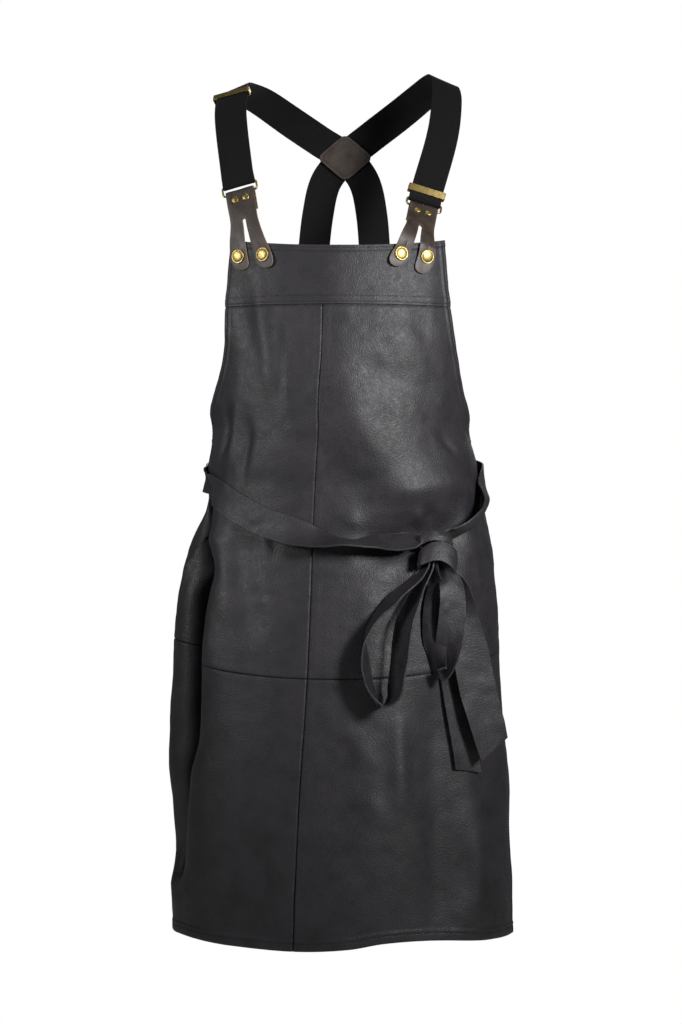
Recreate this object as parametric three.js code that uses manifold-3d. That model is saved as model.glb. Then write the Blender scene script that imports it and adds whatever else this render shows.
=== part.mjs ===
// A leather work apron in the form that it has when worn: a bib with a stitched top band, four body
// panels, webbing braces that cross at the back, and a waist belt tied in a bow at the front.
// Millimetres, +Z up, the front faces -Y. The origin lies midway between the tops of the shoulders.
// Angles go round the body in degrees: 0 is the front, -90 the left side seen from the front, 90 the right.
// "drop" is the distance below the shoulders.

import * as THREE from "three";
import { mergeVertices } from "three/addons/utils/BufferGeometryUtils.js";
import Module from "manifold-3d";

const wasm = await Module();
wasm.setup();

const { clamp, degToRad, lerp, smoothstep } = THREE.MathUtils;

// Driving dimensions
const GAP = 0.3; // clearance between neighbouring pieces
const HIDE = 1.4; // thickness of the body leather
const BAND_SEAM = 282; // drop of the seam under the top band
const BIB_TOP = 212; // drop of the bib's top edge at the front
const BIB_CORNER_RISE = 10; // how far the straps pull its corners up
const BIB_CORNER_ANGLE = 50;
const CROSS_SEAM = 729; // drop of the seam across the skirt at the front
const CROSS_SEAM_RISE = 34; // how much higher it runs at the sides
const HEM = 1044;
const HEM_SIDE_FALL = 6;
const BELT_THICK = 2.2;
const WEBBING_WIDTH = 40;
const WEBBING_THICK = 1.6;
const LAYER_PITCH = 2.3; // between two layers of webbing that lie on each other
const WIRE = 2.6; // thickness of the ring's bars
const RING_HEIGHT = 12; // between the middles of the ring's two bars
const BAR_REACH = WIRE * Math.SQRT1_2; // from the middle of a bar to its corners
const RING_WIDTH = 46;
const TAB_LENGTH = 97; // from the leg ends to the ring
const TAB_THICK = 2.4;
const TAB_TOP_HALF = 17.5;
const TAB_BACK_FLAP = 24; // what is folded back behind the ring
const LEG_SPREAD = 16.5; // from the tab's middle line to each button
const LEG_RADIUS = 11;
const BUTTON_HEIGHT = 16; // of the buttons above the leg ends
const BUTTON_RADIUS = 8.4;
const POST_RADIUS = 2.2;
const RIVET_RADIUS = 4;
const RIVET_HOLE = 2.9;
const RIVET_SPREAD = 6.8;
const RIVET_FROM_RING = 10;
const PATCH_HALF_WIDTH = 36;
const PATCH_HALF_HEIGHT = 30.5;
const PATCH_CORNER = 9;
const PATCH_THICK = 2;
const PATCH_GAP = 0.5;
const CROSSING_PITCH = 2.8; // between the middles of the two straps where they cross
const CROSSING = new THREE.Vector3(9, 101, -77); // middle of the strap that lies nearer the back

// Body form: horizontal sections, each an ellipse with its own depth in front and behind,
// and the angle at which the centre seam crosses it.
const SECTIONS = [
  { drop: 120, middle: 0, half: 160, front: 92, back: 100, seam: -6 },
  { drop: 200, middle: 0, half: 167, front: 108, back: 104, seam: -6 },
  { drop: 282, middle: 1, half: 169, front: 122, back: 104, seam: -6.4 },
  { drop: 344, middle: 3, half: 163, front: 126, back: 102, seam: -8 },
  { drop: 397, middle: 2, half: 162, front: 124, back: 100, seam: -9 },
  { drop: 432, middle: 3, half: 158, front: 121, back: 98, seam: -9.6 },
  { drop: 467, middle: 5, half: 165, front: 118, back: 98, seam: -10.6 },
  { drop: 503, middle: 6, half: 170, front: 117, back: 98, seam: -11.3 },
  { drop: 571, middle: 3, half: 190, front: 118, back: 104, seam: -10 },
  { drop: 638, middle: -2, half: 199, front: 126, back: 115, seam: -8.7 },
  { drop: 736, middle: -4, half: 204, front: 132, back: 122, seam: -9.2 },
  { drop: 885, middle: 1, half: 211, front: 138, back: 128, seam: -13 },
  { drop: 1050, middle: 6, half: 210, front: 142, back: 130, seam: -16.4 },
];

// Free edges of the body on the two sides: bib, armholes, then the rear edges.
const EDGES = [
  { drop: 200, left: -50, right: 50 },
  { drop: 282, left: -54, right: 53 },
  { drop: 344, left: -58, right: 58 },
  { drop: 397, left: -70, right: 67 },
  { drop: 425, left: -86, right: 82 },
  { drop: 440, left: -108, right: 103 },
  { drop: 450, left: -138, right: 126 },
  { drop: 464, left: -154, right: 139 },
  { drop: 571, left: -152, right: 132 },
  { drop: 736, left: -140, right: 108 },
  { drop: 830, left: -132, right: 94 },
  { drop: 1050, left: -118, right: 86 },
];

// Main folds: a ridge (depth above 0) or valley (below 0) along a line over the body,
// with its half width, and the length over which it fades out at both ends.
const GIRTH_PER_DEGREE = 2.9;
const FOLDS = [
  { phi: -86, drop: 500, toPhi: -93, toDrop: 1000, half: 30, depth: -46, fade: 90 },
  { phi: -116, drop: 505, toPhi: -112, toDrop: 1060, half: 40, depth: 15, fade: 90 },
  { phi: -62, drop: 545, toPhi: -46, toDrop: 760, half: 26, depth: 6, fade: 80 },
  { phi: 8, drop: 512, toPhi: 66, toDrop: 488, half: 20, depth: 11, fade: 60 },
  { phi: 4, drop: 550, toPhi: 56, toDrop: 528, half: 16, depth: -9, fade: 50 },
  { phi: 37, drop: 690, toPhi: 33, toDrop: 1080, half: 26, depth: -10, fade: 120 },
  { phi: 53, drop: 860, toPhi: 50, toDrop: 1090, half: 26, depth: 6, fade: 90 },
];

// The belt, from inside the knot round the left, the back and the right into the knot again.
// clear: room under its inner edge; turn: how far its lower edge is turned outwards.
const BELT = [
  { phi: 33.6, drop: 584, clear: 12, turn: 70, width: 14 },
  { phi: 32, drop: 572, clear: 11, turn: 62, width: 18 },
  { phi: 26, drop: 566, clear: 2, turn: 52, width: 35 },
  { phi: 14, drop: 565, clear: 1.4, turn: 64, width: 35 },
  { phi: 2, drop: 567, clear: 1.4, turn: 78, width: 35 },
  { phi: -9, drop: 561, clear: 1.4, turn: 50, width: 35 },
  { phi: -20, drop: 552, clear: 1.3, turn: 18, width: 35 },
  { phi: -32, drop: 541, clear: 1.2, turn: 0, width: 35 },
  { phi: -45, drop: 526, clear: 1.2, turn: 0, width: 35 },
  { phi: -60, drop: 510, clear: 2, turn: 0, width: 35 },
  { phi: -76, drop: 499, clear: 2, turn: 0, width: 35 },
  { phi: -94, drop: 489, clear: 2, turn: 0, width: 35 },
  { phi: -120, drop: 481, clear: 3, turn: 0, width: 35 },
  { phi: -147, drop: 478, clear: 5, turn: 0, width: 35 },
  { phi: -180, drop: 477, clear: 5, turn: 0, width: 35 },
  { phi: -228, drop: 478, clear: 5, turn: 0, width: 35 },
  { phi: -252, drop: 483, clear: 5, turn: 0, width: 35 },
  { phi: -270, drop: 492, clear: 7, turn: 0, width: 35 },
  { phi: -284, drop: 512, clear: 5, turn: 0, width: 35 },
  { phi: -297, drop: 534, clear: 2, turn: 5, width: 35 },
  { phi: -308, drop: 550, clear: 2, turn: 30, width: 35 },
  { phi: -317, drop: 563, clear: 8, turn: 50, width: 24 },
  { phi: -321.4, drop: 572, clear: 12, turn: 62, width: 18 },
  { phi: -322.6, drop: 584, clear: 12, turn: 70, width: 14 },
];

// The knot's wrap: an oval band round the gathered ends.
const KNOT = {
  phi: 35.5,
  drop: 588,
  out: 19.5,
  halfWidth: 23.6,
  halfDepth: 17,
  height: 20,
  bulge: 0.8,
  slant: 8,
};

// Loops and tails of the bow. out: distance of the band's middle from the leather;
// turn: 0 lies flat on the skirt, 90 stands on edge.
const LOOP_LEFT = [
  { phi: 31.2, drop: 592, out: 19.5, turn: 84, width: 13 },
  { phi: 30, drop: 602, out: 19.5, turn: 72, width: 16 },
  { phi: 27, drop: 612, out: 19.5, turn: 60, width: 26 },
  { phi: 21.5, drop: 628, out: 19.5, turn: 54, width: 35 },
  { phi: 13.5, drop: 652, out: 19, turn: 58, width: 35 },
  { phi: 7.6, drop: 684, out: 19, turn: 64, width: 35 },
  { phi: 6.2, drop: 715, out: 19, turn: 68, width: 35 },
  { phi: 8.4, drop: 742, out: 19, turn: 72, width: 35 },
  { phi: 13.4, drop: 756, out: 20, turn: 74, width: 35 },
  { phi: 18, drop: 748, out: 20, turn: 72, width: 35 },
  { phi: 21, drop: 727, out: 20, turn: 70, width: 35 },
  { phi: 23, drop: 698, out: 20, turn: 68, width: 35 },
  { phi: 25.2, drop: 660, out: 19, turn: 68, width: 35 },
  { phi: 28.8, drop: 622, out: 19, turn: 72, width: 25 },
  { phi: 31.9, drop: 602, out: 19.5, turn: 80, width: 15 },
  { phi: 32.6, drop: 592, out: 19.5, turn: 86, width: 13 },
];
const LOOP_RIGHT = [
  { phi: 35.9, drop: 592, out: 20, turn: 86, width: 14 },
  { phi: 36.6, drop: 602, out: 22, turn: 68, width: 16 },
  { phi: 39.6, drop: 618, out: 27, turn: 22, width: 27 },
  { phi: 40.3, drop: 640, out: 27, turn: 6, width: 35 },
  { phi: 39.6, drop: 672, out: 23, turn: 8, width: 33 },
  { phi: 37.6, drop: 706, out: 18, turn: 16, width: 28 },
  { phi: 36.3, drop: 721, out: 13, turn: 18, width: 26 },
  { phi: 35.2, drop: 712, out: 8, turn: 16, width: 26 },
  { phi: 34.4, drop: 680, out: 7, turn: 10, width: 28 },
  { phi: 34.4, drop: 642, out: 8, turn: 16, width: 26 },
  { phi: 34.6, drop: 616, out: 13, turn: 50, width: 18 },
  { phi: 33.8, drop: 602, out: 18.4, turn: 80, width: 15 },
  { phi: 33.38, drop: 592, out: 19.5, turn: 86, width: 14 },
];
const TAIL_LEFT = [
  { phi: 37.8, drop: 592, out: 18, turn: 86, width: 13 },
  { phi: 38, drop: 602, out: 15, turn: 70, width: 13 },
  { phi: 38.3, drop: 611, out: 8.6, turn: 10, width: 15 },
  { phi: 39.2, drop: 624, out: 5.4, turn: 6, width: 24 },
  { phi: 40.4, drop: 655, out: 3, turn: 0, width: 35 },
  { phi: 42, drop: 700, out: 3, turn: 0, width: 35 },
  { phi: 44, drop: 750, out: 3, turn: 0, width: 35 },
  { phi: 46, drop: 800, out: 3, turn: 0, width: 35 },
  { phi: 47, drop: 842, out: 3, turn: 0, width: 35 },
];
const TAIL_RIGHT = [
  { phi: 39.5, drop: 592, out: 20, turn: 88, width: 12 },
  { phi: 40.4, drop: 604, out: 21, turn: 78, width: 12 },
  { phi: 44, drop: 618, out: 20, turn: 40, width: 22 },
  { phi: 47.4, drop: 635, out: 17, turn: 14, width: 33 },
  { phi: 50.2, drop: 654, out: 11, turn: 4, width: 35 },
  { phi: 53, drop: 681, out: 8, turn: 0, width: 35 },
  { phi: 56.6, drop: 723, out: 7, turn: 0, width: 35 },
  { phi: 60, drop: 769, out: 7, turn: 0, width: 35 },
  { phi: 62.6, drop: 818, out: 7, turn: 0, width: 35 },
];

// Braces, one row for each bend of the webbing from the rear to the ring.
// pitch: which way its outer face looks, 0 front, 90 up, 180 rear; lean: how far it looks to the right.
const BRACES = [
  {
    side: "left",
    rear: { phi: 133, drop: 456 },
    bends: [
      { x: 92, y: 88, z: -380, pitch: 180, lean: 30 },
      { x: 62, y: 99, z: -300, pitch: 180, lean: 18 },
      { x: 44, y: 102, z: -215, pitch: 180, lean: 6 },
      { x: 38, y: 101, z: -150, pitch: 180, lean: 0 },
      { x: 28, y: 101, z: -106, pitch: 180, lean: 0 },
      { x: 9, y: 101, z: -77, pitch: 180, lean: 0 },
      { x: -23, y: 100.2, z: -53, pitch: 178, lean: 0 },
      { x: -60, y: 87, z: -28, pitch: 162, lean: -4 },
      { x: -96, y: 52, z: -7, pitch: 138, lean: -12 },
      { x: -120, y: 20, z: 3, pitch: 106, lean: -22 },
      { x: -131, y: -8, z: 4, pitch: 76, lean: -24 },
      { x: -134, y: -34, z: -14, pitch: 44, lean: -20 },
      { x: -131, y: -52, z: -50, pitch: 22, lean: -16 },
    ],
    ring: { x: -120, y: -67, z: -133, pitch: 12, lean: -16 },
    buttons: { phi: -38, drop: 223.5 },
    brim: { phi: -39.8, drop: 205 },
    sliderRow: 13, // row of the strap, counted from its rear end, that carries the slider
  },
  {
    side: "right",
    rear: { phi: -147, drop: 456 },
    bends: [
      { x: -72, y: 95, z: -380, pitch: 180, lean: -20 },
      { x: -48, y: 101, z: -300, pitch: 180, lean: -12 },
      { x: -29, y: 104.6, z: -215, pitch: 180, lean: -4 },
      { x: -21, y: 103.8, z: -150, pitch: 180, lean: 0 },
      { x: -10, y: 103.8, z: -106, pitch: 180, lean: 0 },
      { x: 9, y: 103.8, z: -77, pitch: 180, lean: 0 },
      { x: 41, y: 102.8, z: -53, pitch: 178, lean: 0 },
      { x: 78, y: 89, z: -27, pitch: 162, lean: 4 },
      { x: 107, y: 52, z: -6, pitch: 138, lean: 12 },
      { x: 124, y: 25, z: 4, pitch: 108, lean: 22 },
      { x: 132, y: 2, z: 3, pitch: 70, lean: 24 },
      { x: 134.5, y: -11, z: -19, pitch: 34, lean: 20 },
      { x: 129, y: -17, z: -66, pitch: 16, lean: 16 },
    ],
    ring: { x: 106, y: -40, z: -151, pitch: 34, lean: 14 },
    buttons: { phi: 32, drop: 226 },
    brim: { phi: 34.6, drop: 203 },
    sliderRow: 15,
  },
];

// Materials
function finish(color, roughness, metalness) {
  return new THREE.MeshStandardMaterial({ color, roughness, metalness });
}
const bodyLeather = () => finish(0x2c2b2e, 0.5, 0);
const brownLeather = () => finish(0x55463f, 0.6, 0);
const webbing = () => finish(0x141416, 0.9, 0);
const brass = () => finish(0x9c8347, 0.4, 1);

// Smooth curve through the values ys at the rising places xs
function smooth(xs, ys, x) {
  const last = xs.length - 1;
  const slope = (i) => {
    const before = Math.max(i - 1, 0);
    const after = Math.min(i + 1, last);
    return (ys[after] - ys[before]) / (xs[after] - xs[before]);
  };
  let i = 0;
  while (i < last - 1 && x > xs[i + 1]) i += 1;
  const span = xs[i + 1] - xs[i];
  const t = clamp((x - xs[i]) / span, 0, 1);
  const rise = 3 * t ** 2 - 2 * t ** 3;
  const leave = (t ** 3 - 2 * t ** 2 + t) * span * slope(i);
  const arrive = (t ** 3 - t ** 2) * span * slope(i + 1);
  return lerp(ys[i], ys[i + 1], rise) + leave + arrive;
}

function column(table, key, place, placeKey = "drop") {
  return smooth(table.map((row) => row[placeKey]), table.map((row) => row[key]), place);
}

// Body surface
function foldDepth(phi, drop) {
  let depth = 0;
  for (const fold of FOLDS) {
    const line = new THREE.Vector2((fold.toPhi - fold.phi) * GIRTH_PER_DEGREE, fold.toDrop - fold.drop);
    const offset = new THREE.Vector2((phi - fold.phi) * GIRTH_PER_DEGREE, drop - fold.drop);
    const length = line.length();
    const along = offset.dot(line) / length;
    const across = offset.cross(line) / length;
    const ends = smoothstep(along, 0, fold.fade) * smoothstep(length - along, 0, fold.fade);
    depth += fold.depth * ends * Math.exp(-((across / fold.half) ** 2));
  }
  return depth;
}

function bodyPoint(phi, drop) {
  const angle = degToRad(phi);
  const half = column(SECTIONS, "half", drop);
  const depth = column(SECTIONS, Math.cos(angle) >= 0 ? "front" : "back", drop);
  const outward = new THREE.Vector3(Math.sin(angle) / half, -Math.cos(angle) / depth, 0).normalize();
  const x = column(SECTIONS, "middle", drop) + half * Math.sin(angle);
  const wrapped = THREE.MathUtils.euclideanModulo(phi + 180, 360) - 180;
  const unfolded = new THREE.Vector3(x, -depth * Math.cos(angle), -drop);
  return unfolded.addScaledVector(outward, foldDepth(wrapped, drop));
}

// Directions on the body at a point, taken over short steps: right, up and out
const ANGLE_STEP = 0.5;
const DROP_STEP = 1;

function bodyAxes(phi, drop) {
  const right = bodyPoint(phi + ANGLE_STEP, drop).sub(bodyPoint(phi - ANGLE_STEP, drop)).normalize();
  const up = bodyPoint(phi, drop - DROP_STEP).sub(bodyPoint(phi, drop + DROP_STEP)).normalize();
  const out = new THREE.Vector3().crossVectors(right, up).normalize();
  return { right, up: new THREE.Vector3().crossVectors(out, right), out };
}

function offBody(phi, drop, lift) {
  return bodyPoint(phi, drop).addScaledVector(bodyAxes(phi, drop).out, lift);
}

// A box whose every vertex is moved to its place on the finished piece
function shaped(geometry, place) {
  const position = geometry.attributes.position;
  for (let i = 0; i < position.count; i += 1) {
    const moved = place(position.getX(i), position.getY(i), position.getZ(i));
    position.setXYZ(i, moved.x, moved.y, moved.z);
  }
  geometry.deleteAttribute("normal");
  geometry.deleteAttribute("uv");
  return mergeVertices(geometry, 1e-3);
}

// Panels
const PANEL_COLUMNS = 15;
const BAND_ROWS = 3;
const UPPER_ROWS = 18;
const LOWER_ROWS = 12;
const ROW_BUNCHING = 0.62; // upper rows lie closest where the armholes turn to the back
const ARMHOLE_ROW = 0.42;
const FULL_RISE = 1.2; // at the rear the cross seam and the hem run level

const leftEdge = (drop) => column(EDGES, "left", drop);
const rightEdge = (drop) => column(EDGES, "right", drop);
const seamAngle = (drop) => column(SECTIONS, "seam", drop);
const bibTop = (phi) => BIB_TOP - BIB_CORNER_RISE * (phi / BIB_CORNER_ANGLE) ** 2;
const sideways = (phi) => Math.min(1 - Math.cos(degToRad(phi)), FULL_RISE);
const crossSeam = (phi) => CROSS_SEAM - CROSS_SEAM_RISE * sideways(phi);
const hem = (phi) => HEM + HEM_SIDE_FALL * sideways(phi);
const SEAM_HALF_GAP = 0.2;

function bunched(v) {
  const turn = 2 * Math.PI;
  const wave = Math.sin(turn * (v - ARMHOLE_ROW)) + Math.sin(turn * ARMHOLE_ROW);
  return v - (ROW_BUNCHING * wave) / turn;
}

function panel({ columns, rows, angle, top, bottom, frontTop, frontBottom, spread = (v) => v }) {
  return shaped(new THREE.BoxGeometry(1, 1, 1, columns, rows, 1), (x, y, z) => {
    const down = spread(0.5 - y);
    const phi = angle(x + 0.5, lerp(frontTop, frontBottom, down));
    const drop = lerp(top(phi) + SEAM_HALF_GAP, bottom(phi) - SEAM_HALF_GAP, down);
    return offBody(phi, drop, (z - 0.5) * HIDE);
  });
}

const seamShift = SEAM_HALF_GAP / GIRTH_PER_DEGREE;
const leftHalf = (u, drop) => lerp(leftEdge(drop), seamAngle(drop) - seamShift, u);
const rightHalf = (u, drop) => lerp(seamAngle(drop) + seamShift, rightEdge(drop), u);
const bothHalves = (u, drop) => (u <= 0.5 ? leftHalf(2 * u, drop) : rightHalf(2 * u - 1, drop));

function bandPanel() {
  const bottom = () => BAND_SEAM;
  const span = { top: bibTop, bottom, frontTop: BIB_TOP, frontBottom: BAND_SEAM };
  return panel({ columns: 2 * PANEL_COLUMNS, rows: BAND_ROWS, angle: bothHalves, ...span });
}

function upperPanel(angle) {
  const top = () => BAND_SEAM;
  const span = { top, bottom: crossSeam, frontTop: BAND_SEAM, frontBottom: CROSS_SEAM };
  return panel({ columns: PANEL_COLUMNS, rows: UPPER_ROWS, angle, spread: bunched, ...span });
}

function lowerPanel(angle) {
  const span = { top: crossSeam, bottom: hem, frontTop: CROSS_SEAM, frontBottom: HEM };
  return panel({ columns: PANEL_COLUMNS, rows: LOWER_ROWS, angle, ...span });
}

// Bands: a flat strip carried along a row of frames (middle point, width and face directions)
const STEPS_PER_ROW = 3; // of a band
const TANGENT_STEP = 0.4;

function running(points) {
  const distances = [0];
  for (let i = 1; i < points.length; i += 1) {
    distances.push(distances[i - 1] + points[i].distanceTo(points[i - 1]));
  }
  return distances;
}

function stripFrame(middle, widthAt, distance) {
  const point = middle(distance);
  const along = middle(distance + TANGENT_STEP).sub(middle(distance - TANGENT_STEP)).normalize();
  const wide = widthAt(distance, along);
  wide.addScaledVector(along, -wide.dot(along)).normalize();
  return { point, along, wide, face: new THREE.Vector3().crossVectors(wide, along) };
}

function strip(frames, distances, width, thick) {
  const steps = (distances.length - 1) * STEPS_PER_ROW;
  const box = new THREE.BoxGeometry(1, 1, 1, 1, steps, 1);
  const stops = [];
  for (let i = 0; i <= steps; i += 1) {
    const row = Math.min(Math.floor(i / STEPS_PER_ROW), distances.length - 2);
    const place = lerp(distances[row], distances[row + 1], i / STEPS_PER_ROW - row);
    stops.push({ frame: frames(place), width: width(place) });
  }
  return shaped(box, (x, y, z) => {
    const { frame, width: wide } = stops[Math.round((y + 0.5) * steps)];
    const across = frame.point.clone().addScaledVector(frame.wide, x * wide);
    return across.addScaledVector(frame.face, z * thick);
  });
}

// A belt leather band given by rows on the body; flat names the way its width lies before it is turned
function bodyStrip(rows, flat) {
  const lift = (row) => {
    if (row.out !== undefined) return row.out;
    const turn = degToRad(row.turn);
    return row.clear + (BELT_THICK * Math.cos(turn) + row.width * Math.sin(turn)) / 2;
  };
  const table = rows.map((row) => ({ ...row, lift: lift(row) }));
  const distances = running(table.map((row) => offBody(row.phi, row.drop, row.lift)));
  table.forEach((row, i) => {
    row.distance = distances[i];
  });
  const at = (key, place) => column(table, key, place, "distance");
  const middle = (place) => {
    const inside = clamp(place, 0, distances.at(-1));
    const beyond = place - inside;
    const point = offBody(at("phi", inside), at("drop", inside), at("lift", inside));
    if (beyond === 0) return point;
    const inner = inside - Math.sign(beyond);
    const before = offBody(at("phi", inner), at("drop", inner), at("lift", inner));
    return point.addScaledVector(point.clone().sub(before), Math.abs(beyond));
  };
  const widthAt = (place) => {
    const axes = bodyAxes(at("phi", place), at("drop", place));
    const turn = degToRad(at("turn", place));
    const base = flat === "down" ? axes.up.clone().negate() : axes.right.clone();
    return base.multiplyScalar(Math.cos(turn)).addScaledVector(axes.out, Math.sin(turn));
  };
  const frames = (place) => stripFrame(middle, widthAt, place);
  return strip(frames, distances, (place) => at("width", place), BELT_THICK);
}

// Outward direction of a strap from its pitch and lean
function facing({ pitch, lean }) {
  const up = degToRad(pitch);
  const side = degToRad(lean);
  const level = Math.cos(side);
  return new THREE.Vector3(Math.sin(side), -Math.cos(up) * level, Math.sin(up) * level);
}

// Frames along a free path of points with their outward directions
function freePath(rows) {
  const distances = running(rows.map((row) => row.point));
  const blend = (key, place) => {
    const axis = (name) => smooth(distances, rows.map((row) => row[key][name]), place);
    return new THREE.Vector3(axis("x"), axis("y"), axis("z"));
  };
  const middle = (place) => {
    const inside = clamp(place, 0, distances.at(-1));
    const point = blend("point", inside);
    if (inside === place) return point;
    const inner = inside - Math.sign(place - inside);
    return point.addScaledVector(point.clone().sub(blend("point", inner)), Math.abs(place - inside));
  };
  const widthAt = (place, along) => new THREE.Vector3().crossVectors(along, blend("face", place));
  return { distances, frames: (place) => stripFrame(middle, widthAt, place) };
}

// Ring: its own directions come from the strap's facing and the line to the buttons
const TAB_SEAT = TAB_THICK / 2 + 0.6; // of the tab's middle layer over the leather
const TURN_STEPS = 4;

function ringAxes(brace) {
  const { x, y, z } = brace.ring;
  const upperBar = new THREE.Vector3(x, y, z);
  const buttons = offBody(brace.buttons.phi, brace.buttons.drop, TAB_SEAT);
  const down = buttons.clone().sub(upperBar).normalize();
  const out = facing(brace.ring);
  out.addScaledVector(down, -out.dot(down)).normalize();
  const lowerBar = upperBar.clone().addScaledVector(down, RING_HEIGHT);
  return { upperBar, lowerBar, buttons, down, out };
}

// Rows of a half turn round a bar, from the front over the side named by way to the rear
function halfTurn(bar, out, way, radius) {
  const rows = [];
  for (let i = 0; i <= TURN_STEPS; i += 1) {
    const angle = (Math.PI * i) / TURN_STEPS;
    const face = out.clone().multiplyScalar(Math.cos(angle)).addScaledVector(way, Math.sin(angle));
    rows.push({ point: bar.clone().addScaledVector(face, radius), face });
  }
  return rows;
}

// Webbing: rear end, over the shoulder, down to the ring, round its upper bar and up behind to the slider
const REAR_LIFT = 4.3;
const REAR_OVERLAP = 28;
const LEAD_IN = 16; // straight stretch above the ring

function braceRows(brace) {
  const { upperBar, down, out } = ringAxes(brace);
  const rear = [brace.rear.drop, brace.rear.drop - REAR_OVERLAP].map((drop) => ({
    point: offBody(brace.rear.phi, drop, REAR_LIFT),
    face: bodyAxes(brace.rear.phi, drop).out,
  }));
  const bends = brace.bends.map((row) => ({
    point: new THREE.Vector3(row.x, row.y, row.z),
    face: facing(row),
  }));
  const radius = BAR_REACH + GAP + WEBBING_THICK / 2;
  const above = upperBar.clone().addScaledVector(down, -LEAD_IN);
  const lead = { point: above.addScaledVector(out, radius / 2), face: out };
  const front = [...rear, ...bends, lead];
  const inner = front.slice(brace.sliderRow).map((row) => ({
    point: row.point.clone().addScaledVector(row.face, -LAYER_PITCH),
    face: row.face.clone().negate(),
  }));
  return [...front, ...halfTurn(upperBar, out, down, radius), ...inner.reverse()];
}

function strapStrip(brace) {
  const path = freePath(braceRows(brace));
  return strip(path.frames, path.distances, () => WEBBING_WIDTH, WEBBING_THICK);
}

// Metal frames
const INNER_CORNER = 0.8; // radius in the corners of their openings
const METAL_CURVE = 3; // facets of a rounded corner

// A mesh set on axes: x along wide, y along second
function place(mesh, point, wide, second) {
  const third = new THREE.Vector3().crossVectors(wide, second);
  mesh.applyMatrix4(new THREE.Matrix4().makeBasis(wide, second, third).setPosition(point));
  return mesh;
}

function roundedRectangle(path, width, height, corner) {
  const x = width / 2;
  const y = height / 2;
  path.moveTo(-x + corner, -y);
  path.absarc(x - corner, -y + corner, corner, -Math.PI / 2, 0);
  path.absarc(x - corner, y - corner, corner, 0, Math.PI / 2);
  path.absarc(-x + corner, y - corner, corner, Math.PI / 2, Math.PI);
  path.absarc(-x + corner, -y + corner, corner, Math.PI, 1.5 * Math.PI);
  path.closePath();
  return path;
}

function frameShape(width, height, corner, innerWidth, innerHeight, innerCorner) {
  const shape = roundedRectangle(new THREE.Shape(), width, height, corner);
  shape.holes.push(roundedRectangle(new THREE.Path(), innerWidth, innerHeight, innerCorner));
  return shape;
}

function extruded(shape, depth, curveSegments) {
  return new THREE.ExtrudeGeometry(shape, { depth, bevelEnabled: false, curveSegments });
}

function ringMesh(brace) {
  const { upperBar, lowerBar, down, out } = ringAxes(brace);
  const roomWidth = RING_WIDTH - 2 * WIRE;
  const roomHeight = RING_HEIGHT - WIRE;
  const shape = frameShape(RING_WIDTH, RING_HEIGHT + WIRE, WIRE, roomWidth, roomHeight, INNER_CORNER);
  const geometry = extruded(shape, WIRE, METAL_CURVE);
  geometry.translate(0, 0, -WIRE / 2);
  const up = down.clone().negate();
  const wide = new THREE.Vector3().crossVectors(up, out);
  return place(new THREE.Mesh(geometry, brass()), upperBar.clone().lerp(lowerBar, 0.5), wide, up);
}

// Slider: a flat brass sleeve round both layers of webbing
const SLIDER = { width: 47, deep: 9, corner: 1.4, length: 9, roomWidth: 42.4, roomDeep: 6.8 };

function sliderMesh(brace) {
  const path = freePath(braceRows(brace));
  const { point, wide, face } = path.frames(path.distances[brace.sliderRow]);
  const { width, deep, corner, roomWidth, roomDeep } = SLIDER;
  const shape = frameShape(width, deep, corner, roomWidth, roomDeep, INNER_CORNER);
  const geometry = extruded(shape, SLIDER.length, METAL_CURVE);
  geometry.translate(0, 0, -SLIDER.length / 2);
  const middle = point.clone().addScaledVector(face, -LAYER_PITCH / 2);
  return place(new THREE.Mesh(geometry, brass()), middle, wide, face);
}

// Tabs: cut flat with a die, then folded round the ring's lower bar and laid on the bib
const BAR_ROOM = 0.5; // between the bar's corners and the leather
const TAB_TURN_RADIUS = BAR_REACH + BAR_ROOM + TAB_THICK / 2;
const TAB_TURN = Math.PI * TAB_TURN_RADIUS;
const TAB_FLAT = TAB_LENGTH + TAB_TURN + TAB_BACK_FLAP;
const SLOT_TOP = 60;
const SLOT_RADIUS = 2.4;
const SHOULDER_HEIGHT = 68; // where the legs begin to spread
const FLARE = { outerTop: 48, outerLow: 34, innerTop: 44, innerLow: 30 }; // heights that shape their curves
const BUTTONHOLE_LENGTH = 15;
const BUTTONHOLE_HALF = 0.9;
const BUTTONHOLE_RADIUS = 2.9;
const BUTTONHOLE_LEAN = 3;
const CROWN = 0.4;
const LEG_ROWS = 10;
const TURN_ROWS = 6;
const CUT_MARGIN = 0.1; // what the die trims off the ends
const SIDE_MARGIN = 2;
const DIE_DEPTH = 40;
const DIE_CURVE = 5;

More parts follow.
